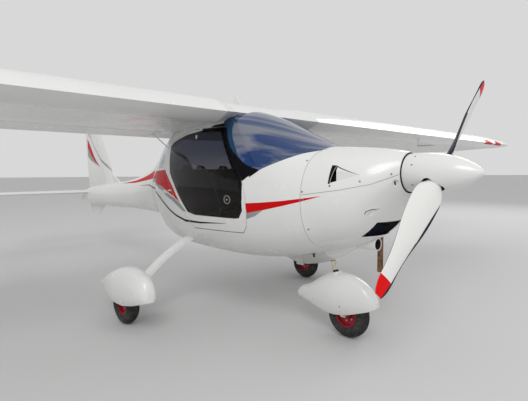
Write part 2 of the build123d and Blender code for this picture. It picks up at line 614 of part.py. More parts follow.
nose_tyre, nose_rim = wheel(NOSE_AFT, 0)
main_tyre, main_rim = wheel(MAIN_AFT, HALF_TRACK)

# Wheel fairings: x back from the axle, half width, bottom, widest, top, fullness
NOSE_PANT = [
    (-228, 22, 234, 258, 284, 0.8), (-208, 46, 206, 262, 322, 0.8), (-166, 68, 180, 264, 370, 0.8),
    (-101, 84, 152, 264, 412, 0.8), (-33, 92, 126, 262, 433, 0.8), (64, 93, 112, 260, 439, 0.8),
    (167, 86, 114, 254, 418, 0.8), (270, 69, 130, 244, 358, 0.8), (361, 49, 156, 234, 303, 0.8),
    (452, 28, 190, 224, 249, 0.8),
]
MAIN_PANT = [
    (-404, 22, 246, 276, 300, 0.8), (-388, 50, 226, 282, 362, 0.8), (-350, 68, 206, 282, 408, 0.8),
    (-280, 82, 184, 280, 438, 0.8), (-180, 91, 152, 274, 452, 0.8), (-62, 94, 124, 268, 444, 0.8),
    (70, 92, 112, 262, 414, 0.8), (195, 78, 126, 256, 368, 0.8), (306, 55, 158, 248, 316, 0.8),
    (417, 30, 196, 236, 263, 0.8),
]
# Where the open underside is trimmed: x back from the axle, height
NOSE_EDGE = [(-300, 268), (-228, 250), (-190, 229), (-26, 172), (79, 152), (130, 151), (269, 176), (470, 214)]
MAIN_EDGE = [(-460, 262), (-404, 246), (-241, 199), (-85, 167), (42, 166), (110, 175), (300, 215), (440, 227)]


def pant(table, edge, aft, y):
    """Shell of a fairing, open below its trimmed edge; both ends stay solid."""
    rows = [(aft + row[0], *row[1:]) for row in table]
    trim = [(aft + back, z) for back, z in edge]
    below = prism(trim + [(trim[-1][0], 0), (trim[0][0], 0)], "y", y - 200, y + 200)
    return body(rows, y_mid=y) - body(rows[1:-1], PANT_WALL, y) - below


nose_pant = pant(NOSE_PANT, NOSE_EDGE, NOSE_AFT, 0)
main_pant = pant(MAIN_PANT, MAIN_EDGE, MAIN_AFT, HALF_TRACK)

# Nose leg: raked steering axis
rake = radians(STRUT_RAKE)
steer_dir = Vector(-sin(rake), 0, cos(rake))
STEER_AFT, STEER_Z = 728.0, 445.0


def on_leg(z):
    """Point of the steering axis at a height."""
    t = (z - STEER_Z) / steer_dir.Z
    return (fx(STEER_AFT) + steer_dir.X * t, 0, z)


nose_leg = rod(on_leg(520), on_leg(660), STRUT_R) - pod
fork_stem = rod(on_leg(FORK_TOP), on_leg(520 - SEAT_GAP), STRUT_R - 2)
top_x = PROP_X - on_leg(FORK_TOP)[0]
fork = fork_stem + block(top_x - 32, top_x + 32, -FORK_HALF - FORK_T, FORK_HALF + FORK_T, FORK_TOP - 12, FORK_TOP)
for s in (-1, 1):
    arm = prism([(NOSE_AFT - 20, WHEEL_R - 10), (NOSE_AFT + 20, WHEEL_R - 10), (top_x + 30, FORK_TOP - 12),
                 (top_x - 30, FORK_TOP - 12)], "y", *sorted((s * FORK_HALF, s * (FORK_HALF + FORK_T))))
    fork = fork + arm
fork = fork + rod((fx(NOSE_AFT), -FORK_HALF - 1, WHEEL_R), (fx(NOSE_AFT), FORK_HALF + 1, WHEEL_R), AXLE_R)
nose_pant = nose_pant - rod(on_leg(300), on_leg(520), STRUT_R - 2)
LEG_FAIRING = [(470, 26, 692, 712, 740, 0.9), (590, 56, 600, 680, 760, 0.9), (690, 64, 545, 645, 740, 0.9),
               (755, 58, 530, 615, 720, 0.9), (822, 44, 566, 625, 700, 0.9)]
leg_fairing = body(LEG_FAIRING) - body(COWL) - pod
leg_fairing = leg_fairing - rod(on_leg(400), on_leg(900), STRUT_R)

# Main legs: flat springs bowed from the belly to the wheels
LEG_PATH = [(250, 580), (452, 597), (690, 462), (860, 325), (930, 230), (936, 150)]
LEG_BENDS = [150, 800, 300, 100]
LEG_T, LEG_W = 24.0, 90.0


def spring_leg():
    pts = [Vector(fx(MAIN_AFT), y, z) for y, z in LEG_PATH]
    path = FilletPolyline(*pts, radius=LEG_BENDS).wires()[0]
    d = (pts[1] - pts[0]).normalized()
    plane = Plane(origin=pts[0], x_dir=(1, 0, 0), z_dir=d)
    sect = plane * Rectangle(LEG_W, LEG_T)
    return sweep(sect, path=path)


main_leg = spring_leg()
main_leg = main_leg + rod((fx(MAIN_AFT), 936, WHEEL_R), (fx(MAIN_AFT), HALF_TRACK + 44, WHEEL_R), AXLE_R)
main_pant = main_pant - main_leg - rod((fx(MAIN_AFT), 900, WHEEL_R), (fx(MAIN_AFT), HALF_TRACK, WHEEL_R), AXLE_R + 3)
belly = belly - main_leg - main_leg.mirror(Plane.XZ)

# Air duct and exhaust, both through the lower cowl
DUCT_Z, DUCT_R, DUCT_BORE = 672.0, 42.0, 36.0
DUCT_FRONT, DUCT_END, DUCT_BACK = 388.0, 600.0, 620.0
duct_space = rod((fx(DUCT_FRONT), 0, DUCT_Z), (fx(DUCT_BACK), 0, DUCT_Z), DUCT_R)
duct = duct_space - rod((fx(DUCT_FRONT - 10), 0, DUCT_Z), (fx(DUCT_END), 0, DUCT_Z), DUCT_BORE)
leg_fairing = leg_fairing - duct_space
cowl_lower = cowl_lower - duct_space
EXHAUST_AFT, EXHAUST_Y, EXHAUST_FOOT, EXHAUST_TOP = 434.0, 100.0, 470.0, 850.0
EXHAUST_R, EXHAUST_BORE, EXHAUST_HOLE = 19.0, 17.0, 25.0


def down_pipe(radius, z_low, z_high):
    return rod((fx(EXHAUST_AFT), EXHAUST_Y, z_low), (fx(EXHAUST_AFT), EXHAUST_Y, z_high), radius)


exhaust = down_pipe(EXHAUST_R, EXHAUST_FOOT, ENGINE["low"]) - down_pipe(EXHAUST_BORE, EXHAUST_FOOT - 10, EXHAUST_TOP)
cowl_lower = cowl_lower - down_pipe(EXHAUST_HOLE, EXHAUST_FOOT - 10, 720)

# Roof aerial and pitot
aerial = prism([(1740, 1690), (1900, 1690), (1862, 1813), (1832, 1813)], "y", -5, 5) - centre
PITOT_Y, PITOT_Z, PITOT_R = 2450.0, 1452.0, 7.0
pitot = rod((fx(1210), PITOT_Y, PITOT_Z), (fx(1400), PITOT_Y, PITOT_Z), PITOT_R)
pitot = pitot + rod((fx(1394), PITOT_Y, PITOT_Z), (fx(1394), PITOT_Y, 1560), PITOT_R)
pitot = pitot - wing_full

# Cabin
FLOOR_Z = 610.0
inside = body([row for row in POD if row[0] <= AFT_BULKHEAD], POD_WALL)
floor = inside & block(FIREWALL + 12, 2500, -900, 900, FLOOR_Z - 10, FLOOR_Z)
floor = floor - main_leg - main_leg.mirror(Plane.XZ)
panel = inside & block(985, 1005, -900, 900, 1010, 1400)
panel = panel & prism([(900, 1010), (1100, 1010), (1100, 1200), (985, 1215), (900, 1215)], "y", -600, 600)


SEAT_SIDE, SEAT_HALF = 205.0, 185.0
SEAT = [(1560, FLOOR_Z + SEAT_GAP), (2050, FLOOR_Z + SEAT_GAP), (2300, 1180), (2200, 1210), (1990, 790), (1560, 830)]
seat_port = prism(SEAT, "y", SEAT_SIDE - SEAT_HALF, SEAT_SIDE + SEAT_HALF)
STICK_R, STICK_TOP = 12.0, 900.0
stick = rod((fx(1449), SEAT_SIDE, FLOOR_Z - 20), (fx(1470), SEAT_SIDE, STICK_TOP), STICK_R)
stick = stick & block(1300, 1550, 100, 300, FLOOR_Z, 1000)

NODES = {
    "fuselage_belly": belly, "fuselage_nose": nose_shell, "fuselage_rear": rear_shell, "tail_boom": boom,
    "firewall": firewall, "cowl_upper": cowl_upper, "cowl_lower": cowl_lower, "engine_block": engine,
    "exhaust_pipe": exhaust, "intake_duct": duct, "windscreen": windscreen, "rear_window": rear_window,
    "centre_section": centre_section, "instrument_panel": panel, "cabin_floor": floor,
    "roof_aerial": aerial, "pitot_tube": pitot, "fin": fin, "rudder": rudder, "ventral_fin": ventral,
    "nose_leg_fairing": leg_fairing, "nose_leg": nose_leg, "nose_fork": fork,
    "nose_wheel_fairing": nose_pant, "nose_tyre": nose_tyre, "nose_rim": nose_rim,
    "spinner": spinner, "spinner_backplate": backplate, "propeller_hub": hub,
    "propeller_blade_a": blade_a, "propeller_blade_b": blade_b,
}
PAIRS = {
    "door_frame": door_frame, "door_glass": door_glass, "wing": wing, "flap": pieces["flap"],
    "aileron": pieces["aileron"], "seat": seat_port, "control_stick": stick, "tailplane": stab_port,
    "elevator": elevator_port, "main_leg": main_leg, "main_wheel_fairing": main_pant,
    "main_tyre": main_tyre, "main_rim": main_rim,
}
for name, shape in PAIRS.items():
    port, starboard = both(shape)
    NODES[f"{name}_left"] = port
    NODES[f"{name}_right"] = starboard
for name, shape in NODES.items():
    save(shape, name)
print(len(NODES), "nodes")
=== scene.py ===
"""A two-seat, high-wing light aeroplane in white gel-coat, parked on a plain studio floor."""

import json
import math

import bmesh
import bpy
from mathutils import Euler, Matrix, Vector
from mathutils.bvhtree import BVHTree


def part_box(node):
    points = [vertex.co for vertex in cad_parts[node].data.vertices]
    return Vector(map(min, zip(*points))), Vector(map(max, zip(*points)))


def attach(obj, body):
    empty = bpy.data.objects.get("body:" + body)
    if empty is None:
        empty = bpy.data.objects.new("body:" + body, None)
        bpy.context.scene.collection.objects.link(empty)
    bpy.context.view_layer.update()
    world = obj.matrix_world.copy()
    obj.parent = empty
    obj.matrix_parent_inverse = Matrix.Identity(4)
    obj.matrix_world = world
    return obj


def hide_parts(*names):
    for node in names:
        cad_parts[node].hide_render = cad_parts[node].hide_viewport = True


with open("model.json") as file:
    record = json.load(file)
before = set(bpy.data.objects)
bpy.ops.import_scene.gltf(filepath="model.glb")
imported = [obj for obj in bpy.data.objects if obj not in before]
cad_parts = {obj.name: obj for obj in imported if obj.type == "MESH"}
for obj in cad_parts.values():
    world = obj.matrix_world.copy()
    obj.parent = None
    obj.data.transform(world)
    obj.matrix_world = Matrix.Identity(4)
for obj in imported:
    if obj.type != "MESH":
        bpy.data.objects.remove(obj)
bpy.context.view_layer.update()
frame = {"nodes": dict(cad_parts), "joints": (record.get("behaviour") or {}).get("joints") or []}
PROP_X = frame["joints"][0]["pos_m"][0]  # stations below are metres aft of the propeller plane

# Studio: a camera where the photographer stood, off the starboard bow and at head height,
# over a seamless pale floor, under one large soft lamp and an even pale surround.
CAMERA_AFT, CAMERA_SIDE, CAMERA_HEIGHT = -1.069, -2.320, 1.136
CAMERA_TURN, CAMERA_PITCH, CAMERA_ROLL = 47.68, -3.815, -0.296  # degrees
LENS, SENSOR = 28.2, 36.0  # millimetres
FLOOR_RADIUS, FLOOR_TINT = 160.0, 0.60
SKY_TINT, SKY_STRENGTH = 0.80, 0.86

lens = bpy.data.cameras.new("photo_camera")
lens.lens, lens.sensor_width = LENS, SENSOR
lens.clip_start, lens.clip_end = 0.05, 400.0
camera = bpy.data.objects.new("photo_camera", lens)
bpy.context.scene.collection.objects.link(camera)
looking = Euler((math.radians(90 + CAMERA_PITCH), 0, math.radians(CAMERA_TURN))).to_matrix()
looking = looking @ Matrix.Rotation(math.radians(CAMERA_ROLL), 3, "Z")
camera.rotation_euler = looking.to_euler()
camera.location = (PROP_X - CAMERA_AFT, CAMERA_SIDE, CAMERA_HEIGHT)
bpy.context.scene.camera = camera
bpy.context.scene.view_settings.view_transform = "Standard"


def link_mesh(name, shape):
    """Turns a bmesh into an object of that name, and frees the bmesh."""
    mesh = bpy.data.meshes.new(name)
    shape.to_mesh(mesh)
    shape.free()
    made = bpy.data.objects.new(name, mesh)
    bpy.context.scene.collection.objects.link(made)
    return made


def graph(made):
    """A material's nodes, its links and its shader."""
    nodes = made.node_tree.nodes
    return nodes, made.node_tree.links, nodes["Principled BSDF"]


def finish(name, colour, roughness, metallic=0.0, coat=0.0):
    """A material whose shader starts from these plain values."""
    made = bpy.data.materials.new(name)
    made.use_nodes = True
    shader = graph(made)[2]
    shader.inputs["Base Color"].default_value = (*colour, 1.0)
    shader.inputs["Roughness"].default_value = roughness
    shader.inputs["Metallic"].default_value = metallic
    shader.inputs["Coat Weight"].default_value = coat
    shader.inputs["Coat Roughness"].default_value = 0.04
    return made


def noise(made, scale, detail=4.0, stretch=(1.0, 1.0, 1.0), grain=None):
    """Noise on the piece's own Object coordinates, drawn out along a grain; gives its factor output."""
    nodes, links, _ = graph(made)
    kinds = ("TexCoord", "Mapping", "TexNoise")
    where, placed, cloud = (nodes.new(f"ShaderNode{kind}") for kind in kinds)
    placed.inputs["Scale"].default_value = stretch
    if grain:
        placed.vector_type = "TEXTURE"
        placed.inputs["Rotation"].default_value = Vector(grain).to_track_quat("X", "Z").to_euler()
    cloud.inputs["Scale"].default_value = scale
    cloud.inputs["Detail"].default_value = detail
    links.new(where.outputs["Object"], placed.inputs["Vector"])
    links.new(placed.outputs["Vector"], cloud.inputs["Vector"])
    return cloud.outputs["Fac"]


def by_height(made, low, high, at_low=0.0, at_high=1.0):
    """A value that runs from one at the low height to another at the high one."""
    nodes, links, _ = graph(made)
    kinds = ("TexCoord", "SeparateXYZ", "MapRange")
    where, split, height = (nodes.new(f"ShaderNode{kind}") for kind in kinds)
    links.new(where.outputs["Object"], split.inputs["Vector"])
    links.new(split.outputs["Z"], height.inputs["Value"])
    height.inputs["From Min"].default_value, height.inputs["From Max"].default_value = low, high
    height.inputs["To Min"].default_value, height.inputs["To Max"].default_value = at_low, at_high
    return height.outputs["Result"]


def shade(made, factor, low, high, start=0.3, end=0.7):
    """Lets a factor carry the base colour from one shade to another."""
    nodes, links, shader = graph(made)
    ramp = nodes.new("ShaderNodeValToRGB")
    for stop, place, colour in zip(ramp.color_ramp.elements, (start, end), (low, high)):
        stop.position, stop.color = place, (*colour, 1.0)
    links.new(factor, ramp.inputs["Fac"])
    links.new(ramp.outputs["Color"], shader.inputs["Base Color"])
    return ramp.outputs["Color"]


def vary(made, factor, socket, low, high):
    """Lets a factor carry a number socket between two values."""
    nodes, links, shader = graph(made)
    spread = nodes.new("ShaderNodeMapRange")
    spread.inputs["From Min"].default_value, spread.inputs["From Max"].default_value = 0.3, 0.7
    spread.inputs["To Min"].default_value, spread.inputs["To Max"].default_value = low, high
    links.new(factor, spread.inputs["Value"])
    links.new(spread.outputs["Result"], shader.inputs[socket])


def relief(made, factor, strength, depth):
    """Lets a factor raise the surface by a depth in metres."""
    nodes, links, shader = graph(made)
    bump = nodes.new("ShaderNodeBump")
    bump.inputs["Strength"].default_value, bump.inputs["Distance"].default_value = strength, depth
    links.new(factor, bump.inputs["Height"])
    links.new(bump.outputs["Normal"], shader.inputs["Normal"])


floor_paint = finish("studio_floor", (FLOOR_TINT,) * 3, 0.9)
vary(floor_paint, noise(floor_paint, 0.7), "Roughness", 0.85, 0.95)
ground = bmesh.new()
bmesh.ops.create_circle(ground, cap_ends=True, segments=96, radius=FLOOR_RADIUS)
floor = link_mesh("studio_floor", ground)
floor.data.materials.append(floor_paint)

world = bpy.data.worlds.new("studio")
bpy.context.scene.world = world
world.use_nodes = True
plain_sky = world.node_tree.nodes["Background"]
plain_sky.inputs["Color"].default_value = (SKY_TINT, SKY_TINT, SKY_TINT, 1.0)
plain_sky.inputs["Strength"].default_value = SKY_STRENGTH

LAMPS = [  # name, place, aimed at, size, watts
    ("soft_box_bow", (9.0, -7.0, 9.0), (1.2, 0.0, 1.0), 7.0, 620.0),
    ("soft_box_port", (0.0, 11.0, 7.0), (0.0, 0.0, 1.0), 6.0, 260.0),
]
for lamp_name, place, target, size, watts in LAMPS:
    lamp = bpy.data.lights.new(lamp_name, "AREA")
    lamp.shape, lamp.size, lamp.energy = "DISK", size, watts
    holder = bpy.data.objects.new(lamp_name, lamp)
    holder.location = place
    holder.rotation_euler = (Vector(target) - Vector(place)).to_track_quat("-Z", "Y").to_euler()
    bpy.context.scene.collection.objects.link(holder)

# Airframe shell: moulded sandwich panels in polished white gel-coat, with the faint ripple of a
# hand-laid mould and a film of dust that gathers low down, round the belly and the wheel fairings.
GEL_WHITE, GEL_SHADE, DUST = (0.80, 0.80, 0.79), (0.76, 0.765, 0.75), (0.50, 0.48, 0.40)
DUST_FROM, DUST_TO = 0.12, 0.34  # heights over which the dust fades out


def dress(made, *names):
    """Puts a finish on CAD nodes, through the slots of their objects."""
    for name in names:
        node = frame["nodes"][name]
        if not node.data.materials:
            node.data.materials.append(made)
        for slot in node.material_slots:
            slot.material = made


def both_sides(*names):
    """The left and right node of each name."""
    return [f"{name}_{side}" for name in names for side in ("left", "right")]


def gel_coat(name, white, grey, dusty=0.35):
    """Gel-coat whose dust fades out over the lowest part of the aeroplane."""
    made = finish(name, white, 0.24, coat=0.25)
    nodes, links, shader = graph(made)
    paint = shade(made, noise(made, 2.2, 5.0), grey, white)
    patch = nodes.new("ShaderNodeMath")
    patch.operation = "MULTIPLY"
    links.new(by_height(made, DUST_FROM, DUST_TO, dusty, 0.0), patch.inputs[0])
    links.new(noise(made, 28.0, 6.0), patch.inputs[1])
    soiled = nodes.new("ShaderNodeMix")
    soiled.data_type = "RGBA"
    links.new(patch.outputs["Value"], soiled.inputs["Factor"])
    links.new(paint, soiled.inputs["A"])
    soiled.inputs["B"].default_value = (*DUST, 1.0)
    links.new(soiled.outputs["Result"], shader.inputs["Base Color"])
    vary(made, noise(made, 9.0, 3.0), "Roughness", 0.20, 0.28)
    relief(made, noise(made, 340.0, 2.0), 0.03, 0.0004)
    return made


gel = gel_coat("white_gel_coat", GEL_WHITE, GEL_SHADE)
dress(gel, "fuselage_belly", "fuselage_nose", "fuselage_rear", "tail_boom", "cowl_upper", "cowl_lower",
      "centre_section", "fin", "rudder", "ventral_fin", "nose_leg_fairing", "nose_wheel_fairing",
      "spinner", "roof_aerial", "intake_duct",
      *both_sides("door_frame", "wing", "flap", "aileron", "tailplane", "elevator", "main_wheel_fairing"))

# Firewall, engine and accessories: a stainless sheet behind one dark cast block, half seen through
# the intakes, with the welded muffler tail pipe that heat has turned brown.
steel = finish("firewall_steel", (0.55, 0.55, 0.54), 0.35, metallic=1.0)
vary(steel, noise(steel, 60.0, 3.0, (1, 1, 12)), "Roughness", 0.28, 0.46)
dress(steel, "firewall")
cast = finish("engine_casting", (0.10, 0.10, 0.105), 0.55, metallic=0.7)
relief(cast, noise(cast, 220.0, 4.0), 0.4, 0.001)
shade(cast, noise(cast, 12.0), (0.06, 0.06, 0.065), (0.15, 0.15, 0.155))
dress(cast, "engine_block")
burnt = finish("burnt_exhaust", (0.22, 0.10, 0.05), 0.48, metallic=0.85)
shade(burnt, noise(burnt, 34.0, 6.0), (0.10, 0.045, 0.025), (0.34, 0.19, 0.11))
vary(burnt, noise(burnt, 80.0, 5.0), "Roughness", 0.36, 0.62)
relief(burnt, noise(burnt, 260.0, 4.0), 0.3, 0.0006)
dress(burnt, "exhaust_pipe")

# Cabin floor, dash and sticks: a ribbed rubber mat, and a black moulded instrument panel screwed to a
# coaming that shades it, with round dials, a radio slot and two padded control sticks.
mat = finish("floor_mat", (0.10, 0.10, 0.105), 0.85)
shade(mat, noise(mat, 30.0, 4.0), (0.07, 0.07, 0.075), (0.14, 0.14, 0.145))
relief(mat, noise(mat, 400.0, 2.0, (1, 0.15, 1)), 0.6, 0.0008)
dress(mat, "cabin_floor")
moulded = finish("black_moulding", (0.02, 0.02, 0.022), 0.5)
shade(moulded, noise(moulded, 18.0), (0.014, 0.014, 0.016), (0.032, 0.032, 0.034))
vary(moulded, noise(moulded, 25.0), "Roughness", 0.42, 0.6)
relief(moulded, noise(moulded, 900.0, 3.0), 0.5, 0.0003)
dress(moulded, "instrument_panel", *both_sides("control_stick"))
head_cloth = finish("head_cloth", (0.030, 0.030, 0.034), 0.9)
shade(head_cloth, noise(head_cloth, 500.0, 2.0), (0.022, 0.022, 0.025), (0.040, 0.040, 0.045))
dial_white = finish("dial_marks", (0.75, 0.75, 0.72), 0.5)
shade(dial_white, noise(dial_white, 60.0), (0.68, 0.68, 0.65), (0.78, 0.78, 0.75))


def turned(shape, profile, centre, axis, steps=40, closed=False):
    """Adds a turned form: pairs of distance along the axis and radius, spun about it."""
    axis, centre = Vector(axis).normalized(), Vector(centre)
    side = axis.orthogonal().normalized()
    rim = [shape.verts.new(centre + axis * along + side * radius) for along, radius in profile]
    runs = list(zip(rim, rim[1:])) + ([(rim[-1], rim[0])] if closed else [])
    edges = [shape.edges.new(run) for run in runs]
    bmesh.ops.spin(shape, geom=rim + edges, cent=centre, axis=axis, angle=math.tau, steps=steps,
                   use_merge=True)
    bmesh.ops.remove_doubles(shape, verts=shape.verts, dist=1e-6)
    shape.faces.ensure_lookup_table()
    bmesh.ops.recalc_face_normals(shape, faces=shape.faces)


def piece(name, shape, paints, body="airframe", crease=38.0):
    """Links a finished mesh, smooths it up to a crease angle and lets it ride on a body."""
    for face in shape.faces:
        face.smooth = True
    made = link_mesh(name, shape)
    made.data.set_sharp_from_angle(angle=math.radians(crease))
    for paint in paints:
        made.data.materials.append(paint)
    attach(made, body)
    return made


def soften(shape, edges, radius):
    """Rounds edges by a radius."""
    bmesh.ops.bevel(shape, geom=edges, offset=radius, offset_type="OFFSET", segments=3, profile=0.5,
                    affect="EDGES", material=-1)


def cut_block(shape, low, high, soft=0.0):
    """Adds a block between two corners, its edges rounded by the soft radius."""
    low, high = Vector(low), Vector(high)
    place = Matrix.Translation((low + high) / 2) @ Matrix.Diagonal((*(high - low), 1.0))
    corners = bmesh.ops.create_cube(shape, size=1.0, matrix=place)["verts"]
    if soft:
        soften(shape, list({edge for corner in corners for edge in corner.link_edges}), soft)


PANEL_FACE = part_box("instrument_panel")[0][0]  # the side towards the seats
NEEDLE_FIRST, NEEDLE_TURN = -60, 47  # degrees, so that no two dials read the same
DIALS = [(0.300, 1.150, 0.040), (0.200, 1.150, 0.040), (0.100, 1.150, 0.040), (0.300, 1.055, 0.029),
         (0.225, 1.055, 0.029), (0.150, 1.055, 0.029), (-0.110, 1.150, 0.029), (-0.185, 1.150, 0.029),
         (-0.260, 1.150, 0.029), (-0.330, 1.120, 0.022)]  # distance across, height, radius
BEZEL = [(0, 1), (0.005, 1), (0.006, 0.94), (0.003, 0.88), (0.0015, 0)]  # depth, share of the radius
TICK = (0.0022, 0.74, 0.0012, 0.0012, 0.20)  # depth, share of the radius out, thickness, width, length
NEEDLE = (0.0028, 0.30, 0.001, 0.002, 0.72)
RADIO_ACROSS, RADIO_HEIGHTS, RADIO_DEPTH = (-0.05, 0.06), [(1.02, 1.06), (1.07, 1.11)], 0.006
bezels, marks = bmesh.new(), bmesh.new()


def mark(spot, radius, degrees, size):
    """Adds one tick or needle to a dial, turned by an angle about the dial's middle."""
    depth, out, thick, wide, long = size
    place = Matrix.Translation(spot) @ Matrix.Rotation(math.radians(degrees), 4, "X")
    place = place @ Matrix.Translation((-depth, 0, radius * out))
    place = place @ Matrix.Diagonal((thick, wide, radius * long, 1.0))
    bmesh.ops.create_cube(marks, size=1.0, matrix=place)


for number, (across, height, radius) in enumerate(DIALS):
    spot = (PANEL_FACE, across, height)
    turned(bezels, [(depth, radius * share) for depth, share in BEZEL], spot, (-1, 0, 0))
    for tick in range(12):
        mark(spot, radius, 30 * tick, TICK)
    mark(spot, radius, NEEDLE_FIRST + NEEDLE_TURN * number, NEEDLE)
for bottom, top in RADIO_HEIGHTS:
    cut_block(bezels, (PANEL_FACE - RADIO_DEPTH, RADIO_ACROSS[0], bottom), (PANEL_FACE, RADIO_ACROSS[1], top),
              0.002)
piece("dial_bezels", bezels, [moulded])
piece("dial_marks", marks, [dial_white])

COAMING = [(0.735, 0.185, 1.262), (0.82, 0.270, 1.262), (0.92, 0.325, 1.256), (1.02, 0.365, 1.236),
           (1.03, 0.365, 1.214)]  # station, half width, height of the crown
COAMING_CROWN, COAMING_THICK = 0.012, 0.004
coaming, rows = bmesh.new(), []
for aft, half, height in COAMING:
    row = []
    for step in range(17):
        across = half * (step / 8 - 1)
        crown = COAMING_CROWN * (1 - (across / half) ** 2)
        row.append(coaming.verts.new((PROP_X - aft, across, height - COAMING_CROWN + crown)))
    rows.append([coaming.edges.new(pair) for pair in zip(row, row[1:])])
for near, far in zip(rows, rows[1:]):
    bmesh.ops.bridge_loops(coaming, edges=near + far)
bmesh.ops.recalc_face_normals(coaming, faces=coaming.faces)
bmesh.ops.solidify(coaming, geom=coaming.faces[:], thickness=COAMING_THICK)
piece("coaming", coaming, [moulded])

SIDE = {"left": 1.0, "right": -1.0}
SEAT_SIDE = 0.205  # from the middle to each seat and stick
GRIP = [(0, 0.0125), (0, 0.017), (0.012, 0.019), (0.030, 0.0165), (0.055, 0.019), (0.080, 0.017),
        (0.092, 0.021), (0.102, 0.017), (0.104, 0)]
GRIP_LEAN, GRIP_FORE, GRIP_DOWN = (-0.07, 0, 1), 0.014, 0.105
stick_low, stick_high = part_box("control_stick_left")
grips = bmesh.new()
for sign in SIDE.values():
    foot = (stick_low[0] + GRIP_FORE, SEAT_SIDE * sign, stick_high[2] - GRIP_DOWN)
    turned(grips, GRIP, foot, GRIP_LEAN, steps=24)
piece("stick_grips", grips, [moulded])

# Seats: two moulded buckets, each with a foam cushion and back pad in tan cloth sewn in channels; two
# shoulder belts of flat webbing meet in a round buckle.
cloth_tan = finish("seat_cloth", (0.42, 0.22, 0.10), 0.9)
graph(cloth_tan)[2].inputs["Sheen Weight"].default_value = 0.35
thread = noise(cloth_tan, 900.0, 2.0, (1, 1, 2.2))
shade(cloth_tan, thread, (0.30, 0.15, 0.07), (0.50, 0.28, 0.14), 0.42, 0.58)
relief(cloth_tan, noise(cloth_tan, 1100.0, 2.0, (1, 1, 2.2)), 0.7, 0.0006)
bucket_grey = finish("seat_bucket", (0.16, 0.16, 0.165), 0.55)
shade(bucket_grey, noise(bucket_grey, 14.0), (0.13, 0.13, 0.135), (0.19, 0.19, 0.195))
relief(bucket_grey, noise(bucket_grey, 700.0), 0.4, 0.0003)
webbing = finish("tan_webbing", (0.40, 0.15, 0.05), 0.7)
weave = noise(webbing, 1500.0, 1.0, (0.3, 4, 0.3))
shade(webbing, weave, (0.28, 0.10, 0.035), (0.46, 0.19, 0.07), 0.42, 0.58)
relief(webbing, weave, 0.6, 0.0004)
bright = finish("bright_steel", (0.66, 0.65, 0.62), 0.28, metallic=1.0)
vary(bright, noise(bright, 50.0, 4.0), "Roughness", 0.2, 0.36)

PAD_HALF, BUCKET_HALF = 0.165, 0.178
CUSHION = [(1.575, 0.755), (1.575, 0.812), (1.975, 0.776), (1.985, 0.722)]  # station and height
BACK_PAD = [(2.006, 0.815), (2.056, 0.795), (2.243, 1.160), (2.196, 1.186)]
BUCKET = [(1.566, 0.612), (1.566, 0.745), (1.990, 0.708), (2.058, 0.782), (2.252, 1.160), (2.286, 1.168),
          (2.044, 0.612)]
PAD_EDGE, PAD_MESH, PAD_SWELL = 0.014, 0.006, 0.016
PAD_PRESSURE, PAD_STEPS = 4.0, 20
SEAM_STEP, SEAM_DEPTH, SEAM_REACH = 0.085, 0.006, 0.010
BELT_OFFSET, BELT_WIDE, BELT_THICK = 0.075, 0.046, 0.0016
BELT = [(2.262, 1.178), (2.236, 1.208), (2.186, 1.200), (2.080, 1.010), (1.990, 0.868), (1.930, 0.822),
        (1.760, 0.838)]
BUCKLE = [(0, 0), (0, 0.030), (0.012, 0.030), (0.016, 0.026), (0.016, 0.012), (0.019, 0.010), (0.019, 0)]
BUCKLE_AFT, BUCKLE_HEIGHT, BUCKLE_LEAN = 1.765, 0.832, (-0.1, 0, 1)


def sided(shape, corners, near, far):
    """Adds a straight-sided form between two distances across, over an outline of station and height."""
    rim = [shape.verts.new((PROP_X - aft, near, height)) for aft, height in corners]
    base = shape.faces.new(rim)
    grown = bmesh.ops.extrude_face_region(shape, geom=[base])
    moved = [part for part in grown["geom"] if isinstance(part, bmesh.types.BMVert)]
    bmesh.ops.translate(shape, verts=moved, vec=(0, far - near, 0))
    bmesh.ops.recalc_face_normals(shape, faces=shape.faces)


def baked(made):
    """Gives an object the mesh that its modifiers make, and takes them off."""
    made.data = bpy.data.meshes.new_from_object(made.evaluated_get(bpy.context.evaluated_depsgraph_get()))
    made.modifiers.clear()


def puff(name, corners, near, far, swell):
    """A foam pad: its outline filled, remeshed and blown up as cloth, no point moving beyond the swell."""
    block = bmesh.new()
    sided(block, corners, near, far)
    soften(block, block.edges[:], PAD_EDGE)
    pad = link_mesh(name, block)
    fine = pad.modifiers.new("fine", "REMESH")
    fine.mode, fine.voxel_size = "VOXEL", PAD_MESH
    baked(pad)
    scene = bpy.context.scene
    start = [vert.co.copy() for vert in pad.data.vertices]
    blown = pad.modifiers.new("blown", "CLOTH")
    blown.settings.use_pressure, blown.settings.uniform_pressure_force = True, PAD_PRESSURE
    blown.settings.effector_weights.gravity = 0.0
    for step in range(1, PAD_STEPS + 1):
        scene.frame_set(step)
    baked(pad)
    scene.frame_set(1)
    for vert, was in zip(pad.data.vertices, start):
        moved = vert.co - was
        if moved.length > swell:
            vert.co = was + moved * (swell / moved.length)
    for face in pad.data.polygons:
        face.use_smooth = True
    return pad


def sewn(pad, seams):
    """Presses sewn channels into a pad along lines of constant distance across."""
    for vert in pad.data.vertices:
        near = min(abs(vert.co.y - seam) for seam in seams)
        if near < SEAM_REACH:
            vert.co -= vert.normal * SEAM_DEPTH * (1 - near / SEAM_REACH) ** 2


def mirrored(source, name):
    """A starboard twin of a port piece, mirrored in its mesh."""
    twin = bmesh.new()
    twin.from_mesh(source.data)
    bmesh.ops.scale(twin, vec=(1, -1, 1), verts=twin.verts)
    bmesh.ops.reverse_faces(twin, faces=twin.faces)
    return link_mesh(name, twin)


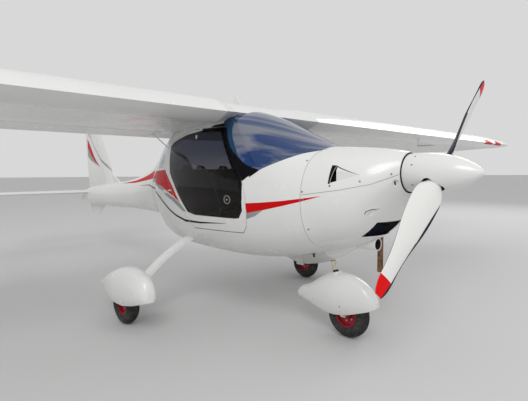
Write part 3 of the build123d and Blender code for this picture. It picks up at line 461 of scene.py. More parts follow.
for part, corners in (("cushion", CUSHION), ("back_pad", BACK_PAD)):
    pad = puff(f"{part}_left", corners, SEAT_SIDE - PAD_HALF, SEAT_SIDE + PAD_HALF, PAD_SWELL)
    sewn(pad, (SEAT_SIDE - SEAM_STEP, SEAT_SIDE, SEAT_SIDE + SEAM_STEP))
    twin = mirrored(pad, f"{part}_right")
    for made, side in ((pad, "left"), (twin, "right")):
        made.data.materials.append(cloth_tan)
        made.modifiers.new("soft", "SUBSURF").levels = 1
        made.modifiers["soft"].render_levels = 1
        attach(made, "airframe")
        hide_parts(f"seat_{side}")


def strap(shape, path, across):
    """Flat webbing laid along a path of station and height, at one distance across."""
    half = BELT_WIDE / 2
    for near, far in zip(path, path[1:]):
        corners = ((near, -half), (near, half), (far, half), (far, -half))
        shape.faces.new([shape.verts.new((PROP_X - a, across + s, z)) for (a, z), s in corners])
    bmesh.ops.remove_doubles(shape, verts=shape.verts, dist=1e-6)
    bmesh.ops.recalc_face_normals(shape, faces=shape.faces)


for side, sign in SIDE.items():
    bucket = bmesh.new()
    sided(bucket, BUCKET, sign * (SEAT_SIDE - BUCKET_HALF), sign * (SEAT_SIDE + BUCKET_HALF))
    soften(bucket, bucket.edges[:], 0.008)
    shell = piece(f"seat_bucket_{side}", bucket, [bucket_grey])
    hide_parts(f"seat_{side}")
    belts = bmesh.new()
    for offset in (-BELT_OFFSET, BELT_OFFSET):
        strap(belts, BELT, sign * SEAT_SIDE + offset)
    bmesh.ops.solidify(belts, geom=belts.faces[:], thickness=BELT_THICK)
    piece(f"shoulder_belts_{side}", belts, [webbing])
    buckle = bmesh.new()
    turned(buckle, BUCKLE, (PROP_X - BUCKLE_AFT, sign * SEAT_SIDE, BUCKLE_HEIGHT), BUCKLE_LEAN)
    piece(f"belt_buckle_{side}", buckle, [bright])

# Films cut from vinyl and laid on the panels: the red and grey flashes, the thin black swoosh and the
# painted seams all follow the skin they lie on, half a millimetre proud of it.
FILM_LIFT = 0.0005
EDGE_ON = 0.06  # a face that turns towards the cutter by less than this is left bare


def cut_outside(shape, corners, along):
    """Trims a mesh to a convex outline seen along an axis; corners are pairs in the other two axes."""
    flat = [axis for axis in range(3) if axis != along]
    middle = [sum(c[i] for c in corners) / len(corners) for i in (0, 1)]
    for start, end in zip(corners, corners[1:] + corners[:1]):
        place, across = Vector((0, 0, 0)), Vector((0, 0, 0))
        place[flat[0]], place[flat[1]] = start
        across[flat[0]], across[flat[1]] = end[1] - start[1], start[0] - end[0]
        if across.length < 1e-9:
            continue
        inward = Vector((0, 0, 0))
        inward[flat[0]], inward[flat[1]] = middle[0] - start[0], middle[1] - start[1]
        if across.dot(inward) > 0:
            across.negate()
        bmesh.ops.bisect_plane(shape, geom=shape.verts[:] + shape.edges[:] + shape.faces[:], dist=1e-7,
                               plane_co=place, plane_no=across, clear_outer=True)


def welded_skin(panel):
    """A working copy of a CAD node's mesh, its seams welded."""
    skin = bmesh.new()
    skin.from_mesh(frame["nodes"][panel].data)
    bmesh.ops.remove_doubles(skin, verts=skin.verts, dist=1e-5)
    return skin


def gather(sheet, part):
    """Adds the faces of one mesh to another, and frees the first."""
    if part.faces:
        patch = bpy.data.meshes.new("patch")
        part.to_mesh(patch)
        sheet.from_mesh(patch)
        bpy.data.meshes.remove(patch)
    part.free()


def raise_clear(sheet, lift):
    """Welds a sheet and lifts it off the skin that it was cut from."""
    bmesh.ops.remove_doubles(sheet, verts=sheet.verts, dist=2e-5)
    sheet.normal_update()
    for vert in sheet.verts:
        vert.co += vert.normal * lift


def film(name, panels, outlines, facing, paint, body="airframe", lift=FILM_LIFT):
    """A thin film: what each outline covers of the skins that face one way, lifted clear of them.

    An outline's pairs start with metres aft, or with the frame's y if the film faces fore or aft.
    Facing sideways, it keeps to its own side of the aeroplane.
    """
    facing = Vector(facing)
    along = max(range(3), key=lambda axis: abs(facing[axis]))
    if along:
        outlines = [[(PROP_X - aft, other) for aft, other in outline] for outline in outlines]
    sheet = bmesh.new()
    for panel in panels:
        skin = welded_skin(panel)
        away = [f for f in skin.faces if f.normal.dot(facing) < EDGE_ON
                or (along == 1 and f.calc_center_median().dot(facing) < 0)]
        bmesh.ops.delete(skin, geom=away, context="FACES")
        for outline in outlines:
            cut = skin.copy()
            cut_outside(cut, outline, along)
            gather(sheet, cut)
        skin.free()
    if not sheet.faces:
        sheet.free()
        return
    raise_clear(sheet, lift)
    for face in sheet.faces:
        face.smooth = True
    made = link_mesh(name, sheet)
    made.data.materials.append(paint)
    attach(made, body)


def ribbon(path, widths):
    """Quads along a path of station and height, with a width at each point."""
    rails = []
    for i, (aft, height) in enumerate(path):
        before, after = path[max(i - 1, 0)], path[min(i + 1, len(path) - 1)]
        run, rise = after[0] - before[0], after[1] - before[1]
        half = widths[i] / 2 / math.hypot(run, rise)
        rails.append(((aft + rise * half, height - run * half), (aft - rise * half, height + run * half)))
    return [(a[0], b[0], b[1], a[1]) for a, b in zip(rails, rails[1:])]


def vinyl(name, colour, roughness=0.40, gloss=0.30):
    """Cut film with a slight unevenness where it was rubbed down."""
    made = finish(name, colour, roughness)
    graph(made)[2].inputs["Specular IOR Level"].default_value = gloss
    darker = tuple(0.86 * part for part in colour)
    shade(made, noise(made, 14.0, 4.0), darker, colour)
    vary(made, noise(made, 40.0, 3.0), "Roughness", roughness * 0.8, roughness * 1.25)
    return made


red_film = vinyl("red_film", (0.66, 0.002, 0.004), gloss=0.12)
grey_film = vinyl("grey_film", (0.34, 0.36, 0.36))
black_film = vinyl("black_film", (0.003, 0.003, 0.005), 0.30, 0.12)
blue_film = vinyl("blue_film", (0.008, 0.050, 0.120), 0.15, 0.45)
seam_grey = vinyl("seam_shadow", (0.36, 0.36, 0.34), 0.6)

RED_WEDGE = [[(1.128, 0.927), (1.128, 0.858), (0.988, 0.885), (0.988, 0.938)],
             [(0.988, 0.938), (0.988, 0.885), (0.840, 0.919), (0.840, 0.953)],
             [(0.840, 0.953), (0.840, 0.919), (0.702, 0.953), (0.702, 0.972)],
             [(0.702, 0.972), (0.702, 0.953), (0.560, 0.993)]]
GREY_WEDGE = [[(1.128, 0.858), (1.133, 0.815), (1.050, 0.842), (0.980, 0.887)]]
DOOR_FLASH_RED = [[(2.910, 1.156), (2.168, 1.166), (2.052, 1.072), (2.935, 1.086)],
                  [(2.935, 1.086), (2.052, 1.072), (1.981, 1.011), (2.250, 1.028)],
                  [(2.250, 1.028), (1.981, 1.011), (1.931, 0.950), (2.106, 0.984)],
                  [(2.106, 0.984), (1.931, 0.950), (1.979, 0.944)],
                  [(1.979, 0.944), (1.931, 0.950), (1.885, 0.900)]]
DOOR_FLASH_GREY = [[(2.935, 1.086), (2.422, 1.0425), (2.422, 1.021), (2.949, 1.049)],
                   [(2.422, 1.0425), (2.250, 1.028), (2.160, 1.001), (2.216, 0.986), (2.422, 1.021)],
                   [(2.185, 0.965), (2.106, 0.968), (1.993, 0.938), (2.014, 0.907), (2.120, 0.941)],
                   [(1.993, 0.938), (1.885, 0.893), (1.900, 0.850), (2.014, 0.907)],
                   [(1.885, 0.893), (1.802, 0.825), (1.859, 0.830), (1.900, 0.850)]]
SWOOSH = [(3.445, 0.998), (3.100, 1.012), (2.900, 0.985), (2.440, 0.957), (2.300, 0.918), (2.176, 0.861),
          (2.080, 0.815), (1.999, 0.784), (1.857, 0.751), (1.643, 0.752), (1.338, 0.770)]
SWOOSH_WIDTHS = [0.002, 0.010, 0.014, 0.016, 0.018, 0.018, 0.018, 0.018, 0.020, 0.014, 0.002]
BOOM_FLASH = [[(4.100, 1.010), (3.650, 1.052), (3.650, 1.024)],
              [(3.650, 1.052), (3.650, 1.024), (3.280, 1.058), (3.280, 1.110)],
              [(3.280, 1.110), (3.280, 1.058), (2.955, 1.084), (2.955, 1.172)]]
FRONT, REAR = ["fuselage_nose", "cowl_lower", "cowl_upper"], ["fuselage_rear", "tail_boom"]
swoosh = ribbon(SWOOSH, SWOOSH_WIDTHS)
for side, sign in SIDE.items():
    out, door, door_skin = (0, sign, 0), f"door_{side}", [f"door_frame_{side}"]
    film(f"wedge_red_{side}", FRONT, RED_WEDGE, out, red_film)
    film(f"wedge_grey_{side}", FRONT, GREY_WEDGE, out, grey_film)
    film(f"flash_red_{side}", REAR, DOOR_FLASH_RED, out, red_film)
    film(f"flash_grey_{side}", REAR, DOOR_FLASH_GREY, out, grey_film)
    film(f"flash_boom_{side}", ["tail_boom"], BOOM_FLASH, out, red_film)
    film(f"swoosh_{side}", REAR, swoosh, out, black_film)
    film(f"door_swoosh_{side}", door_skin, swoosh, out, black_film, door)
    film(f"door_flash_red_{side}", door_skin, DOOR_FLASH_RED, out, red_film, door)
    film(f"door_flash_grey_{side}", door_skin, DOOR_FLASH_GREY, out, grey_film, door)

# Glazing: one blown windscreen of blue-tinted acrylic, smoke door panes and clear rear panes, all 5 mm
# thick, bonded to the shell behind a gloss black border.
def acrylic(name, low, high, fade_low, fade_high, roughness=0.02, bend=1.49):
    """Acrylic whose colour runs from one value at a low height to another at a high one; on the door panes
    that run is a painted reflection low down and painted shade high up.
    """
    made = finish(name, high, roughness)
    shader = graph(made)[2]
    shader.inputs["Transmission Weight"].default_value = 1.0
    shader.inputs["IOR"].default_value = bend
    shade(made, by_height(made, fade_low, fade_high), low, high, 0.0, 1.0)
    vary(made, noise(made, 5.0, 3.0), "Roughness", roughness * 0.5, roughness * 1.6)
    relief(made, noise(made, 3.0, 1.0), 0.04, 0.002)
    return made


screen_blue = finish("blue_acrylic", (0.012, 0.060, 0.260), 0.03)
graph(screen_blue)[2].inputs["Transmission Weight"].default_value = 0.35
# The pale grey streaks drawn out across the dark blue are a painted reflection of the bright surround; the
# dark blue is the acrylic's own tint.
reflection_streaks = noise(screen_blue, 1.0, 5.0, (1.6, 0.10, 0.10), (0.83, 0.48, -0.28))
shade(screen_blue, reflection_streaks, (0.006, 0.050, 0.210), (0.26, 0.28, 0.34), 0.44, 0.60)
vary(screen_blue, noise(screen_blue, 5.0, 3.0), "Roughness", 0.02, 0.05)
dress(screen_blue, "windscreen")
# The smoke door panes are painted lighter low down, a painted reflection of the bright surround, and darker
# high up, a painted reflection of the wing's shaded underside.
smoke = acrylic("smoke_acrylic", (0.22, 0.20, 0.20), (0.06, 0.06, 0.09), 0.95, 1.30, bend=1.3)
dress(smoke, *both_sides("door_glass"))
dress(acrylic("clear_acrylic", (0.86, 0.91, 0.93), (0.80, 0.88, 0.93), 1.10, 1.50), "rear_window")

# Black pillar border; its last outline runs on above the door top under the wing root, where the black is
# painted shade.
PILLAR_AND_ROOT_SHADE = [[(1.030, 1.150), (1.035, 1.160), (1.097, 1.176), (1.097, 1.105)],
          [(1.097, 1.120), (1.097, 1.176), (1.158, 1.202), (1.158, 1.075)],
          [(1.158, 1.075), (1.158, 1.202), (1.285, 1.291), (1.330, 1.291), (1.210, 1.075)],
          [(1.285, 1.291), (1.347, 1.349), (1.400, 1.349), (1.330, 1.291)],
          [(1.440, 1.476), (1.502, 1.517), (1.590, 1.503), (1.610, 1.476)]]
SCREEN_EDGE = [[(1.158, 1.202), (1.285, 1.291), (1.158, 1.291)],
               [(1.158, 1.291), (1.285, 1.291), (1.347, 1.349), (1.158, 1.349)],
               [(1.200, 1.349), (1.347, 1.349), (1.443, 1.453), (1.502, 1.517), (1.200, 1.517)],
               [(1.200, 1.517), (1.502, 1.517), (1.517, 1.537), (1.511, 1.567), (1.500, 1.620),
                (1.200, 1.620)]]
DOOR_BLACK = [[(2.052, 1.148), (1.785, 0.829), (1.700, 0.811), (1.700, 1.148)],
              [(1.700, 0.810), (1.227, 0.812), (1.227, 1.148), (1.700, 1.148)],
              [(1.227, 0.812), (1.189, 0.832), (1.166, 0.872), (1.151, 0.960), (1.151, 1.148),
               (1.227, 1.148)],
              [(1.700, 1.148), (2.052, 1.148), (2.077, 1.207), (2.114, 1.294), (2.147, 1.374),
               (2.110, 1.399), (2.016, 1.426), (1.900, 1.451), (1.700, 1.470)],
              [(1.700, 1.148), (1.700, 1.470), (1.560, 1.470), (1.560, 1.148)],
              [(1.560, 1.148), (1.560, 1.470), (1.540, 1.486), (1.425, 1.490), (1.151, 1.148)]]
HEADLINER = [(1.56, -0.34), (1.56, 0.34), (2.12, 0.34), (2.12, -0.34)]  # station and distance across
# Black film on the downward faces of the shell above each door: painted shade in the gap under the wing root.
ROOF_GAP_SHADE = [(1.43, 0.36), (1.43, 0.62), (1.66, 0.62), (1.66, 0.36)]
DOOR_FRONT = [(0.30, 1.085), (0.30, 1.50), (0.60, 1.50), (0.60, 1.085)]  # distance across and height
SHELL = ["fuselage_nose", "fuselage_rear"]
film("headliner", ["centre_section"], [HEADLINER], (0, 0, -1), head_cloth)
for side, sign in SIDE.items():
    out, door, door_skin = (0, sign, 0), f"door_{side}", [f"door_frame_{side}"]
    film(f"pillar_black_{side}", [*SHELL, "windscreen"], PILLAR_AND_ROOT_SHADE, out, black_film)
    film(f"screen_edge_{side}", SHELL, SCREEN_EDGE, out, blue_film)
    roof = [(aft, sign * across) for aft, across in ROOF_GAP_SHADE]
    film(f"roof_gap_{side}", SHELL, [roof], (0, 0, -1), black_film)
    film(f"door_black_{side}", door_skin, DOOR_BLACK, out, black_film, door)
    front = [(sign * across, height) for across, height in DOOR_FRONT]
    film(f"door_front_{side}", door_skin, [front], (1, 0, 0), black_film, door)

# Cowl openings: black over the throat of each flush side inlet as painted shade, a painted shadow line along
# the upper wall of its ramp, painted shade in the two dimples below, a black sleeve as painted shade inside
# the round air duct, and a navy baffle behind the chin opening.
skins = {}


def skin_tree(panel):
    """A CAD node's surface as a search tree."""
    if panel not in skins:
        mesh = frame["nodes"][panel].data
        corners = [vert.co for vert in mesh.vertices]
        skins[panel] = BVHTree.FromPolygons(corners, [face.vertices[:] for face in mesh.polygons])
    return skins[panel]


def on_skin(spot, panels):
    """The nearest place on the panels' skin, with the direction outwards."""
    found = []
    for panel in panels:
        place, outward, _, away = skin_tree(panel).find_nearest(Vector(spot))
        found.append((away, place, outward))
    return min(found, key=lambda each: each[0])[1:]


shadow = vinyl("opening_shadow", (0.10, 0.095, 0.075), 0.6, 0.2)
chin_navy = vinyl("chin_navy", (0.004, 0.004, 0.020), 0.6, 0.1)
# Outlines of painted shade: the inlet's throat, the shadow line under the ramp's upper wall and the shaded
# sides of the two dimples.
INLET_THROAT_SHADE = [[(0.527, 1.181), (0.499, 1.179), (0.512, 1.068), (0.525, 1.068)]]
INLET_EDGE_SHADOW = [(0.505, 1.178), (0.455, 1.157), (0.410, 1.140), (0.352, 1.121)]
ROUND_DIMPLE_SHADE = [[(0.1950, 1.0870), (0.2005, 1.0840), (0.2035, 1.0730), (0.2005, 1.0620), (0.1950, 1.0590)]]
LONG_DIMPLE_SHADE = [(0.335, 0.885), (0.325, 0.905), (0.300, 0.917), (0.270, 0.921)]
inlet_edge_shadow = ribbon(INLET_EDGE_SHADOW, [0.006, 0.005, 0.004, 0.001])
long_dimple_shade = ribbon(LONG_DIMPLE_SHADE, [0.002, 0.004, 0.004, 0.001])
BAFFLE_LOW, BAFFLE_HIGH, BAFFLE_X = 0.722, 0.845, PROP_X - 0.405
BAFFLE_THICK, BAFFLE_ROOM = 0.003, 0.006
# A black sleeve closed at its far end: painted shade inside the round air duct.
DUCT_SHADE_SLEEVE = [(-0.004, 0.0358), (-0.004, 0.0352), (-0.208, 0.0352), (-0.208, 0.0), (-0.2095, 0.0),
               (-0.2095, 0.0358)]
halves = []
for height in (BAFFLE_LOW, BAFFLE_HIGH):
    wall = skin_tree("cowl_lower").ray_cast(Vector((BAFFLE_X, 0, height)), Vector((0, 1, 0)))[0]
    halves.append(wall.y - BAFFLE_ROOM)
baffle, duct_shade = bmesh.new(), bmesh.new()
cut_block(baffle, (BAFFLE_X - BAFFLE_THICK, -min(halves), BAFFLE_LOW), (BAFFLE_X, min(halves), BAFFLE_HIGH))
piece("chin_baffle", baffle, [chin_navy])
turned(duct_shade, DUCT_SHADE_SLEEVE, (PROP_X - 0.388, 0, 0.672), (1, 0, 0))
piece("duct_lining", duct_shade, [moulded])
for side, sign in SIDE.items():
    out = (0, sign, 0)
    film(f"inlet_throat_{side}", ["cowl_upper"], INLET_THROAT_SHADE, out, black_film)
    film(f"inlet_edge_shadow_{side}", ["cowl_upper"], inlet_edge_shadow, out, shadow)
    film(f"round_dimple_{side}", ["cowl_lower"], ROUND_DIMPLE_SHADE, out, shadow)
    film(f"long_dimple_{side}", ["cowl_lower"], long_dimple_shade, out, shadow)

# Door fittings: a round vent in each pane, a white catch under the roof edge and a white pull handle on
# the shell behind the door.
white_trim = vinyl("white_trim", (0.78, 0.78, 0.76), 0.35)
HANDLE = [[(2.008, 1.001), (2.086, 0.998), (2.088, 0.987), (2.014, 0.989)]]
VENT_RING = [(0.0005, 0.0310), (0.0030, 0.0305), (0.0038, 0.0285), (0.0030, 0.0268), (0.0005, 0.0262)]
VENT_KNOB = [(0.0005, 0.0070), (0.0060, 0.0065), (0.0068, 0.0050), (0.0068, 0)]
CATCH_HALF = Vector((0.0075, 0.005, 0.018))
for side, sign in SIDE.items():
    vent, catch = bmesh.new(), bmesh.new()
    place, outward = on_skin((PROP_X - 1.289, 0.530 * sign, 0.947), [f"door_glass_{side}"])
    turned(vent, VENT_RING, place, outward)
    turned(vent, VENT_KNOB, place, outward, 24)
    piece(f"door_vent_{side}", vent, [seam_grey], f"door_{side}")
    place, _ = on_skin((PROP_X - 1.737, 0.485 * sign, 1.420), [f"door_frame_{side}", f"door_glass_{side}"])
    cut_block(catch, place - CATCH_HALF, place + CATCH_HALF, 0.002)
    piece(f"door_catch_{side}", catch, [white_trim], f"door_{side}")
    out = (0, sign, 0)
    film(f"pull_handle_{side}", ["fuselage_rear"], HANDLE, out, white_trim, lift=0.0012)

# Seams and screws: the cowl halves meet in a hairline joint held by quarter-turn studs, and the firewall
# and tail joints show as thin shadow lines.
COWL_JOINT = [(0.176, 1.124), (0.212, 1.104), (0.295, 1.065), (0.447, 1.032), (0.700, 0.9954)]
COWLS = ["cowl_upper", "cowl_lower"]
cowl_joint = ribbon(COWL_JOINT, [0.003] * len(COWL_JOINT))
for side, sign in SIDE.items():
    film(f"cowl_joint_{side}", COWLS, cowl_joint, (0, sign, 0), seam_grey, lift=0.0008)


def band(name, panels, low, high, middle, paint, body="airframe", lift=0.0006):
    """A shadow line round the body: the panels' outer skin between two stations."""
    strip = bmesh.new()
    for panel in panels:
        skin = welded_skin(panel)
        for aft, way in ((low, 1), (high, -1)):
            bmesh.ops.bisect_plane(skin, geom=skin.verts[:] + skin.edges[:] + skin.faces[:], dist=1e-7,
                                   plane_co=(PROP_X - aft, 0, 0), plane_no=(way, 0, 0), clear_outer=True)
        inner = [f for f in skin.faces
                 if f.normal.dot((f.calc_center_median() - Vector((0, 0, middle))) * Vector((0, 1, 1))) < 0.02]
        bmesh.ops.delete(skin, geom=inner, context="FACES")
        gather(strip, skin)
    raise_clear(strip, lift)
    piece(name, strip, [paint], body)


band("firewall_joint", ["fuselage_nose", "fuselage_belly"], 0.7005, 0.7030, 0.96, seam_grey)
band("boom_joint", ["fuselage_rear", "fuselage_belly"], 2.9470, 2.9495, 0.965, seam_grey)

screw_steel = finish("screw_steel", (0.30, 0.29, 0.27), 0.4, metallic=0.9)
vary(screw_steel, noise(screw_steel, 300.0), "Roughness", 0.3, 0.55)
shade(screw_steel, noise(screw_steel, 200.0), (0.20, 0.19, 0.17), (0.40, 0.39, 0.36))
# A stud head's height over the skin, with each radius as a share of the stud's own.
STUD_HEAD = [(0.0002, 1.25), (0.0008, 1.12), (0.0010, 1.0), (0.0004, 0.86), (0.0007, 0.45), (0.0007, 0)]


def studs(name, spots, panels, radius, body="airframe"):
    """Countersunk studs, each a shallow cup head that stands a millimetre clear of the skin."""
    heads, profile = bmesh.new(), [(height, radius * share) for height, share in STUD_HEAD]
    for spot in spots:
        place, outward = on_skin(spot, panels)
        turned(heads, profile, place, outward, steps=20)
    piece(name, heads, [screw_steel], body)


COWL_STUDS = [(2.060, 0.316, 1.214), (2.267, 0.348, 1.056), (2.434, 0.276, 1.084), (2.571, 0.161, 1.125),
              (2.087, 0.395, 1.016), (2.094, 0.395, 0.965), (2.101, 0.349, 0.775), (2.090, 0.160, 1.290),
              (2.571, 0.060, 1.250)]
cowl_spots = [(x, y * sign, z) for x, y, z in COWL_STUDS for sign in (1, -1)]
studs("cowl_studs", cowl_spots, [*COWLS, "fuselage_nose"], 0.0052)
studs("belly_studs", [(2.086, 0.183 * sign, 0.636) for sign in (1, -1)], ["fuselage_belly"], 0.005)

# Undercarriage: sprung composite main legs and a raked steel nose strut with clamp rings; grooved tyres on
# red cast wheels, under fairings that are screwed to brackets.
strut = finish("pale_strut", (0.72, 0.66, 0.55), 0.34, metallic=0.55)
shade(strut, noise(strut, 40.0, 4.0), (0.58, 0.52, 0.42), (0.80, 0.75, 0.65))
vary(strut, noise(strut, 70.0, 3.0), "Roughness", 0.26, 0.44)
dress(strut, "nose_leg", "nose_fork")
leg_paint = gel_coat("leg_paint", (0.84, 0.84, 0.83), (0.80, 0.80, 0.79), dusty=0.15)
dress(leg_paint, *both_sides("main_leg"))

rubber = finish("tyre_rubber", (0.022, 0.022, 0.024), 0.78)
shade(rubber, noise(rubber, 24.0, 5.0), (0.012, 0.012, 0.013), (0.060, 0.056, 0.048), 0.35, 0.8)
vary(rubber, noise(rubber, 40.0, 4.0), "Roughness", 0.66, 0.90)
relief(rubber, noise(rubber, 520.0, 3.0), 0.35, 0.0005)
wheel_red = vinyl("wheel_red", (0.34, 0.010, 0.020), 0.30)
relief(wheel_red, noise(wheel_red, 420.0, 2.0), 0.15, 0.0004)

HALF_TREAD = [(0.0035, 0.1560), (0.0040, 0.1597), (0.0120, 0.1585), (0.0125, 0.1548), (0.0165, 0.1540),
              (0.0170, 0.1570), (0.0260, 0.1532), (0.0265, 0.1498), (0.0305, 0.1476), (0.0312, 0.1500),
              (0.0380, 0.1442), (0.0432, 0.1386), (0.0476, 0.1290), (0.0484, 0.1272), (0.0493, 0.1262),
              (0.0497, 0.1180), (0.0490, 0.1085), (0.0462, 0.0985), (0.0420, 0.0905), (0.0372, 0.0858),
              (0.0350, 0.0842)]
TYRE = [(-half, radius) for half, radius in reversed(HALF_TREAD)] + HALF_TREAD
BOLT_HEAD = [(0, 0.0066), (0.0052, 0.0066), (0.0060, 0.0058), (0.0060, 0)]
WASHER = [(0, 0.0088), (0.0012, 0.0088), (0.0012, 0.0066)]
VALVE = [(0, 0.004), (0.016, 0.0036), (0.017, 0.0045), (0.026, 0.0045), (0.027, 0)]
BOLT_COUNT, BOLT_CIRCLE, RIM_FACE = 6, 0.046, 0.0075
WHEELS = [("nose", "nose_wheel", ""), ("main", "main_wheel_left", "_left"),
          ("main", "main_wheel_right", "_right")]
for kind, body, ending in WHEELS:
    low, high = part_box(f"{kind}_tyre{ending}")
    hub = (Vector(low) + Vector(high)) / 2
    tyre = bmesh.new()
    turned(tyre, TYRE, hub, (0, 1, 0), 112, closed=True)
    made = piece(f"{kind}_tread{ending}", tyre, [rubber], body, 30.0)
    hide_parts(f"{kind}_tyre{ending}")
    dress(wheel_red, f"{kind}_rim{ending}")
    bolts, caps = bmesh.new(), bmesh.new()
    for way in (1, -1):
        for turn in range(BOLT_COUNT):
            angle = math.radians(360 / BOLT_COUNT * turn + 20)
            spot = Vector((BOLT_CIRCLE * math.cos(angle), RIM_FACE * way, BOLT_CIRCLE * math.sin(angle)))
            turned(bolts, BOLT_HEAD, hub + spot, (0, way, 0), 6)
            turned(bolts, WASHER, hub + spot, (0, way, 0), 16)
    turned(caps, VALVE, hub + Vector((0.062, 0.012, 0.020)), (0.3, 1, 0.1), 14)
    piece(f"{kind}_wheel_bolts{ending}", bolts, [bright], body, 25.0)
    piece(f"{kind}_valve{ending}", caps, [moulded], body)

# Nose strut: a steel clamp ring with two screws, black rubber lips above and below it, and the moulded cap
# where it enters the fairing; the fairings hang on studs.
RAKE = math.radians(18.6)
STRUT_FOOT = Vector((PROP_X - 0.728, 0, 0.445))
STRUT_LEAN = Vector((-math.sin(RAKE), 0, math.cos(RAKE)))
CLAMP = [(0.050, 0.0172), (0.050, 0.0215), (0.052, 0.0230), (0.061, 0.0230), (0.063, 0.0215), (0.063, 0.0172)]
CLAMP_SCREW = [(0, 0.0036), (0.003, 0.0036), (0.0036, 0.003), (0.0036, 0)]
SCREW_UP, SCREW_OUT = 0.0565, 0.0222
UPPER_LIP = [(0.068, 0.0172), (0.068, 0.0182), (0.072, 0.0182), (0.072, 0.0172)]
LOWER_LIP = [(-0.016, 0.0172), (-0.016, 0.0200), (0.004, 0.0200), (0.006, 0.0172)]
STRUT_CAP = [(-0.030, 0.0175), (-0.012, 0.0215), (-0.010, 0.0300), (-0.014, 0.0380), (-0.030, 0.0430)]
rings, gaiter, cap = bmesh.new(), bmesh.new(), bmesh.new()
turned(rings, CLAMP, STRUT_FOOT, STRUT_LEAN)
for turn in (0.6, 2.2):
    out = Matrix.Rotation(turn, 3, STRUT_LEAN) @ Vector((0, -1, 0))
    turned(rings, CLAMP_SCREW, STRUT_FOOT + STRUT_LEAN * SCREW_UP + out * SCREW_OUT, out, 12)
for lip in (UPPER_LIP, LOWER_LIP):
    turned(gaiter, lip, STRUT_FOOT, STRUT_LEAN)
turned(cap, STRUT_CAP, STRUT_FOOT, STRUT_LEAN)
piece("strut_rings", rings, [strut], "nose_steering")
piece("strut_gaiter", gaiter, [moulded], "nose_steering")
piece("strut_cap", cap, [gel], "nose_steering")
nose_spots = [(2.154, 0.090 * sign, 0.228) for sign in (1, -1)]
studs("nose_fairing_studs", nose_spots, ["nose_wheel_fairing"], 0.005, "nose_steering")
for side, sign in SIDE.items():
    spots = [(0.852, sign * 1.099, 0.193), (0.700, sign * 1.090, 0.300)]
    studs(f"main_fairing_studs_{side}", spots, [f"main_wheel_fairing_{side}"], 0.005)

# Propeller: two wooden blades in white lacquer with red tips, a navy erosion strip glued along the inner
# leading edge and a navy back, bolted to an aluminium hub under a spun spinner.
lacquer = gel_coat("blade_lacquer", (0.80, 0.80, 0.78), (0.76, 0.76, 0.74), 0.0)
dress(lacquer, "propeller_blade_a", "propeller_blade_b")
hub_alloy = finish("hub_alloy", (0.42, 0.42, 0.43), 0.38, metallic=1.0)
vary(hub_alloy, noise(hub_alloy, 90.0, 3.0), "Roughness", 0.3, 0.48)
dress(hub_alloy, "propeller_hub")
plate_grey = finish("backplate_alloy", (0.15, 0.145, 0.12), 0.5)
shade(plate_grey, noise(plate_grey, 40.0), (0.11, 0.105, 0.085), (0.19, 0.185, 0.155))
dress(plate_grey, "spinner_backplate")
tip_red = vinyl("tip_red", (0.78, 0.004, 0.004), gloss=0.12)
navy = vinyl("navy_strip", (0.008, 0.008, 0.030), 0.40, 0.15)
SHAFT = frame["joints"][0]["pos_m"][2]
BLADE_LEAN = math.radians(46.5)
ALONG = Vector((math.sin(BLADE_LEAN), math.cos(BLADE_LEAN)))
ACROSS = Vector((-math.cos(BLADE_LEAN), math.sin(BLADE_LEAN)))


def on_blade(outlines, flip):
    """Turns pairs of radius and distance towards the leading edge into the frame's y and z."""
    placed = []
    for outline in outlines:
        spots = [(ALONG * radius + ACROSS * lead) * flip for radius, lead in outline]
        placed.append([(spot.x, spot.y + SHAFT) for spot in spots])
    return placed


TIP = [[(0.748, -0.09), (0.748, 0.09), (0.862, 0.09), (0.862, -0.09)]]
BACK = [[(0.10, -0.12), (0.10, 0.12), (0.748, 0.12), (0.748, -0.12)]]
EDGE_LINE = [[(0.470, 0.055), (0.470, 0.11), (0.600, 0.11), (0.600, 0.046)],
             [(0.600, 0.046), (0.600, 0.11), (0.748, 0.11), (0.748, 0.035)],
             [(0.748, 0.035), (0.748, 0.11), (0.862, 0.11), (0.862, 0.018)]]
STRIPS = {"a": [[(0.110, 0.036), (0.110, 0.11), (0.250, 0.11), (0.250, 0.050)],
                [(0.250, 0.050), (0.250, 0.11), (0.470, 0.11), (0.470, 0.046)], *EDGE_LINE],
          "b": [[(0.110, 0.066), (0.110, 0.11), (0.470, 0.11), (0.470, 0.058)], *EDGE_LINE]}
for name, flip in (("a", 1), ("b", -1)):
    blade = [f"propeller_blade_{name}"]
    tip, back, strip = (on_blade(outlines, flip) for outlines in (TIP, BACK, STRIPS[name]))
    for way, label in ((1, "front"), (-1, "back")):
        film(f"blade_{name}_tip_{label}", blade, tip, (way, 0, 0), tip_red, "propeller")
    film(f"blade_{name}_navy_back", blade, back, (-1, 0, 0), navy, "propeller")
    film(f"blade_{name}_navy_strip", blade, strip, (1, 0, 0), navy, "propeller", 0.0008)
SPINNER_STUDS = [(2.667, -0.108, 1.178), (2.667, -0.094, 1.063)]
quarters = [Matrix.Rotation(math.pi * n / 2, 3, "X") for n in range(4)]
axle = Vector((0, 0, SHAFT))
spinner_spots = [turn @ (Vector(spot) - axle) + axle for spot in SPINNER_STUDS for turn in quarters]
studs("spinner_studs", spinner_spots, ["spinner"], 0.0045, "propeller")

# Wing and tail trim: red vinyl bars round the wing tips, the fin's red and grey flash with a thin swoosh,
# white flap push-rods, the belly and roof aerials and the pitot tube.
TIP_BARS = [[(4.42, 1.622), (4.56, 1.622), (4.68, 1.556), (4.34, 1.556)],
            [(4.85, 1.622), (4.95, 1.622), (5.04, 1.556), (4.72, 1.556)]]
for side, sign in SIDE.items():
    bars = [[(sign * y, z) for y, z in bar] for bar in TIP_BARS]
    film(f"tip_bars_{side}", [f"wing_{side}"], bars, (1, 0, 0), red_film)

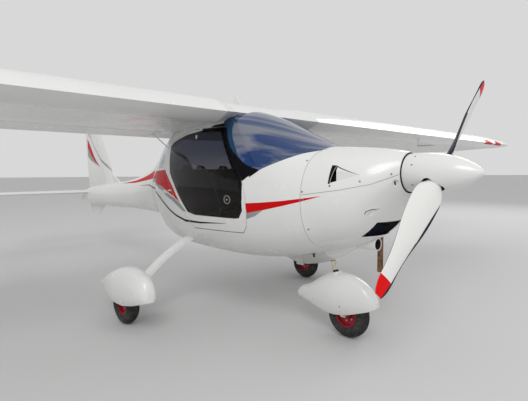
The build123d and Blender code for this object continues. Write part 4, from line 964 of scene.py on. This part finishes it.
FIN_RED = [[(5.500, 1.677), (5.325, 1.513), (5.334, 1.408), (5.500, 1.543)],
           [(5.325, 1.513), (5.220, 1.404), (5.198, 1.331), (5.334, 1.408)],
           [(5.220, 1.404), (5.102, 1.318), (5.198, 1.331)],
           [(5.102, 1.318), (4.960, 1.234), (5.198, 1.331)]]
FIN_GREY = [[(5.500, 1.543), (5.334, 1.408), (5.369, 1.340), (5.500, 1.410)],
            [(5.334, 1.408), (5.198, 1.331), (5.201, 1.294), (5.369, 1.340)],
            [(5.198, 1.331), (4.960, 1.234), (5.201, 1.294)]]
FIN_SWOOSH = [(5.400, 1.790), (5.349, 1.719), (5.286, 1.626), (5.181, 1.527), (5.051, 1.429), (4.925, 1.344),
              (4.751, 1.260), (4.562, 1.156)]
FIN_SWOOSH_WIDTHS = [0.012, 0.012, 0.014, 0.016, 0.018, 0.026, 0.030, 0.003]
FIN_LINE = [(5.480, 1.810), (5.417, 1.724), (5.345, 1.668)]
fin_swoosh = ribbon(FIN_SWOOSH, FIN_SWOOSH_WIDTHS)
fin_line = ribbon(FIN_LINE, [0.030, 0.020, 0.003])
for side, sign in SIDE.items():
    out = (0, sign, 0)
    for node, body in (("fin", "airframe"), ("rudder", "rudder")):
        film(f"{node}_red_{side}", [node], FIN_RED, out, red_film, body)
        film(f"{node}_grey_{side}", [node], FIN_GREY, out, grey_film, body)
        film(f"{node}_swoosh_{side}", [node], fin_swoosh, out, grey_film, body)
        film(f"{node}_line_{side}", [node], fin_line, out, red_film, body)

ROD_END = [(0, 0), (0, 0.0045), (0.02, 0.0055), (0.022, 0.0046)]
ROD_PIN = [(-0.006, 0), (-0.006, 0.008), (0.006, 0.008), (0.006, 0)]
rods = bmesh.new()
for sign in SIDE.values():
    low, _ = on_skin((PROP_X - 2.362, 0.430 * sign, 1.352), ["fuselage_rear"])
    high, _ = on_skin((PROP_X - 2.340, 0.550 * sign, 1.483), ["centre_section", *both_sides("wing")])
    span = (high - low).length
    rod = ROD_END + [(span - step, radius) for step, radius in reversed(ROD_END)]
    turned(rods, rod, low, high - low, 16)
    for end in (low, high):
        turned(rods, ROD_PIN, end, (0, 1, 0), 16)
piece("flap_push_rods", rods, [gel])

STUB = [(-0.002, 0), (-0.002, 0.012), (0.003, 0.012), (0.006, 0.008), (0.024, 0.007), (0.026, 0.005),
        (0.026, 0)]
aerial = bmesh.new()
place, outward = on_skin((PROP_X - 0.89, -0.05, 0.55), ["fuselage_belly", "fuselage_nose"])
turned(aerial, STUB, place, outward, 20)
piece("belly_aerial", aerial, [moulded])
dress(bright, "pitot_tube")
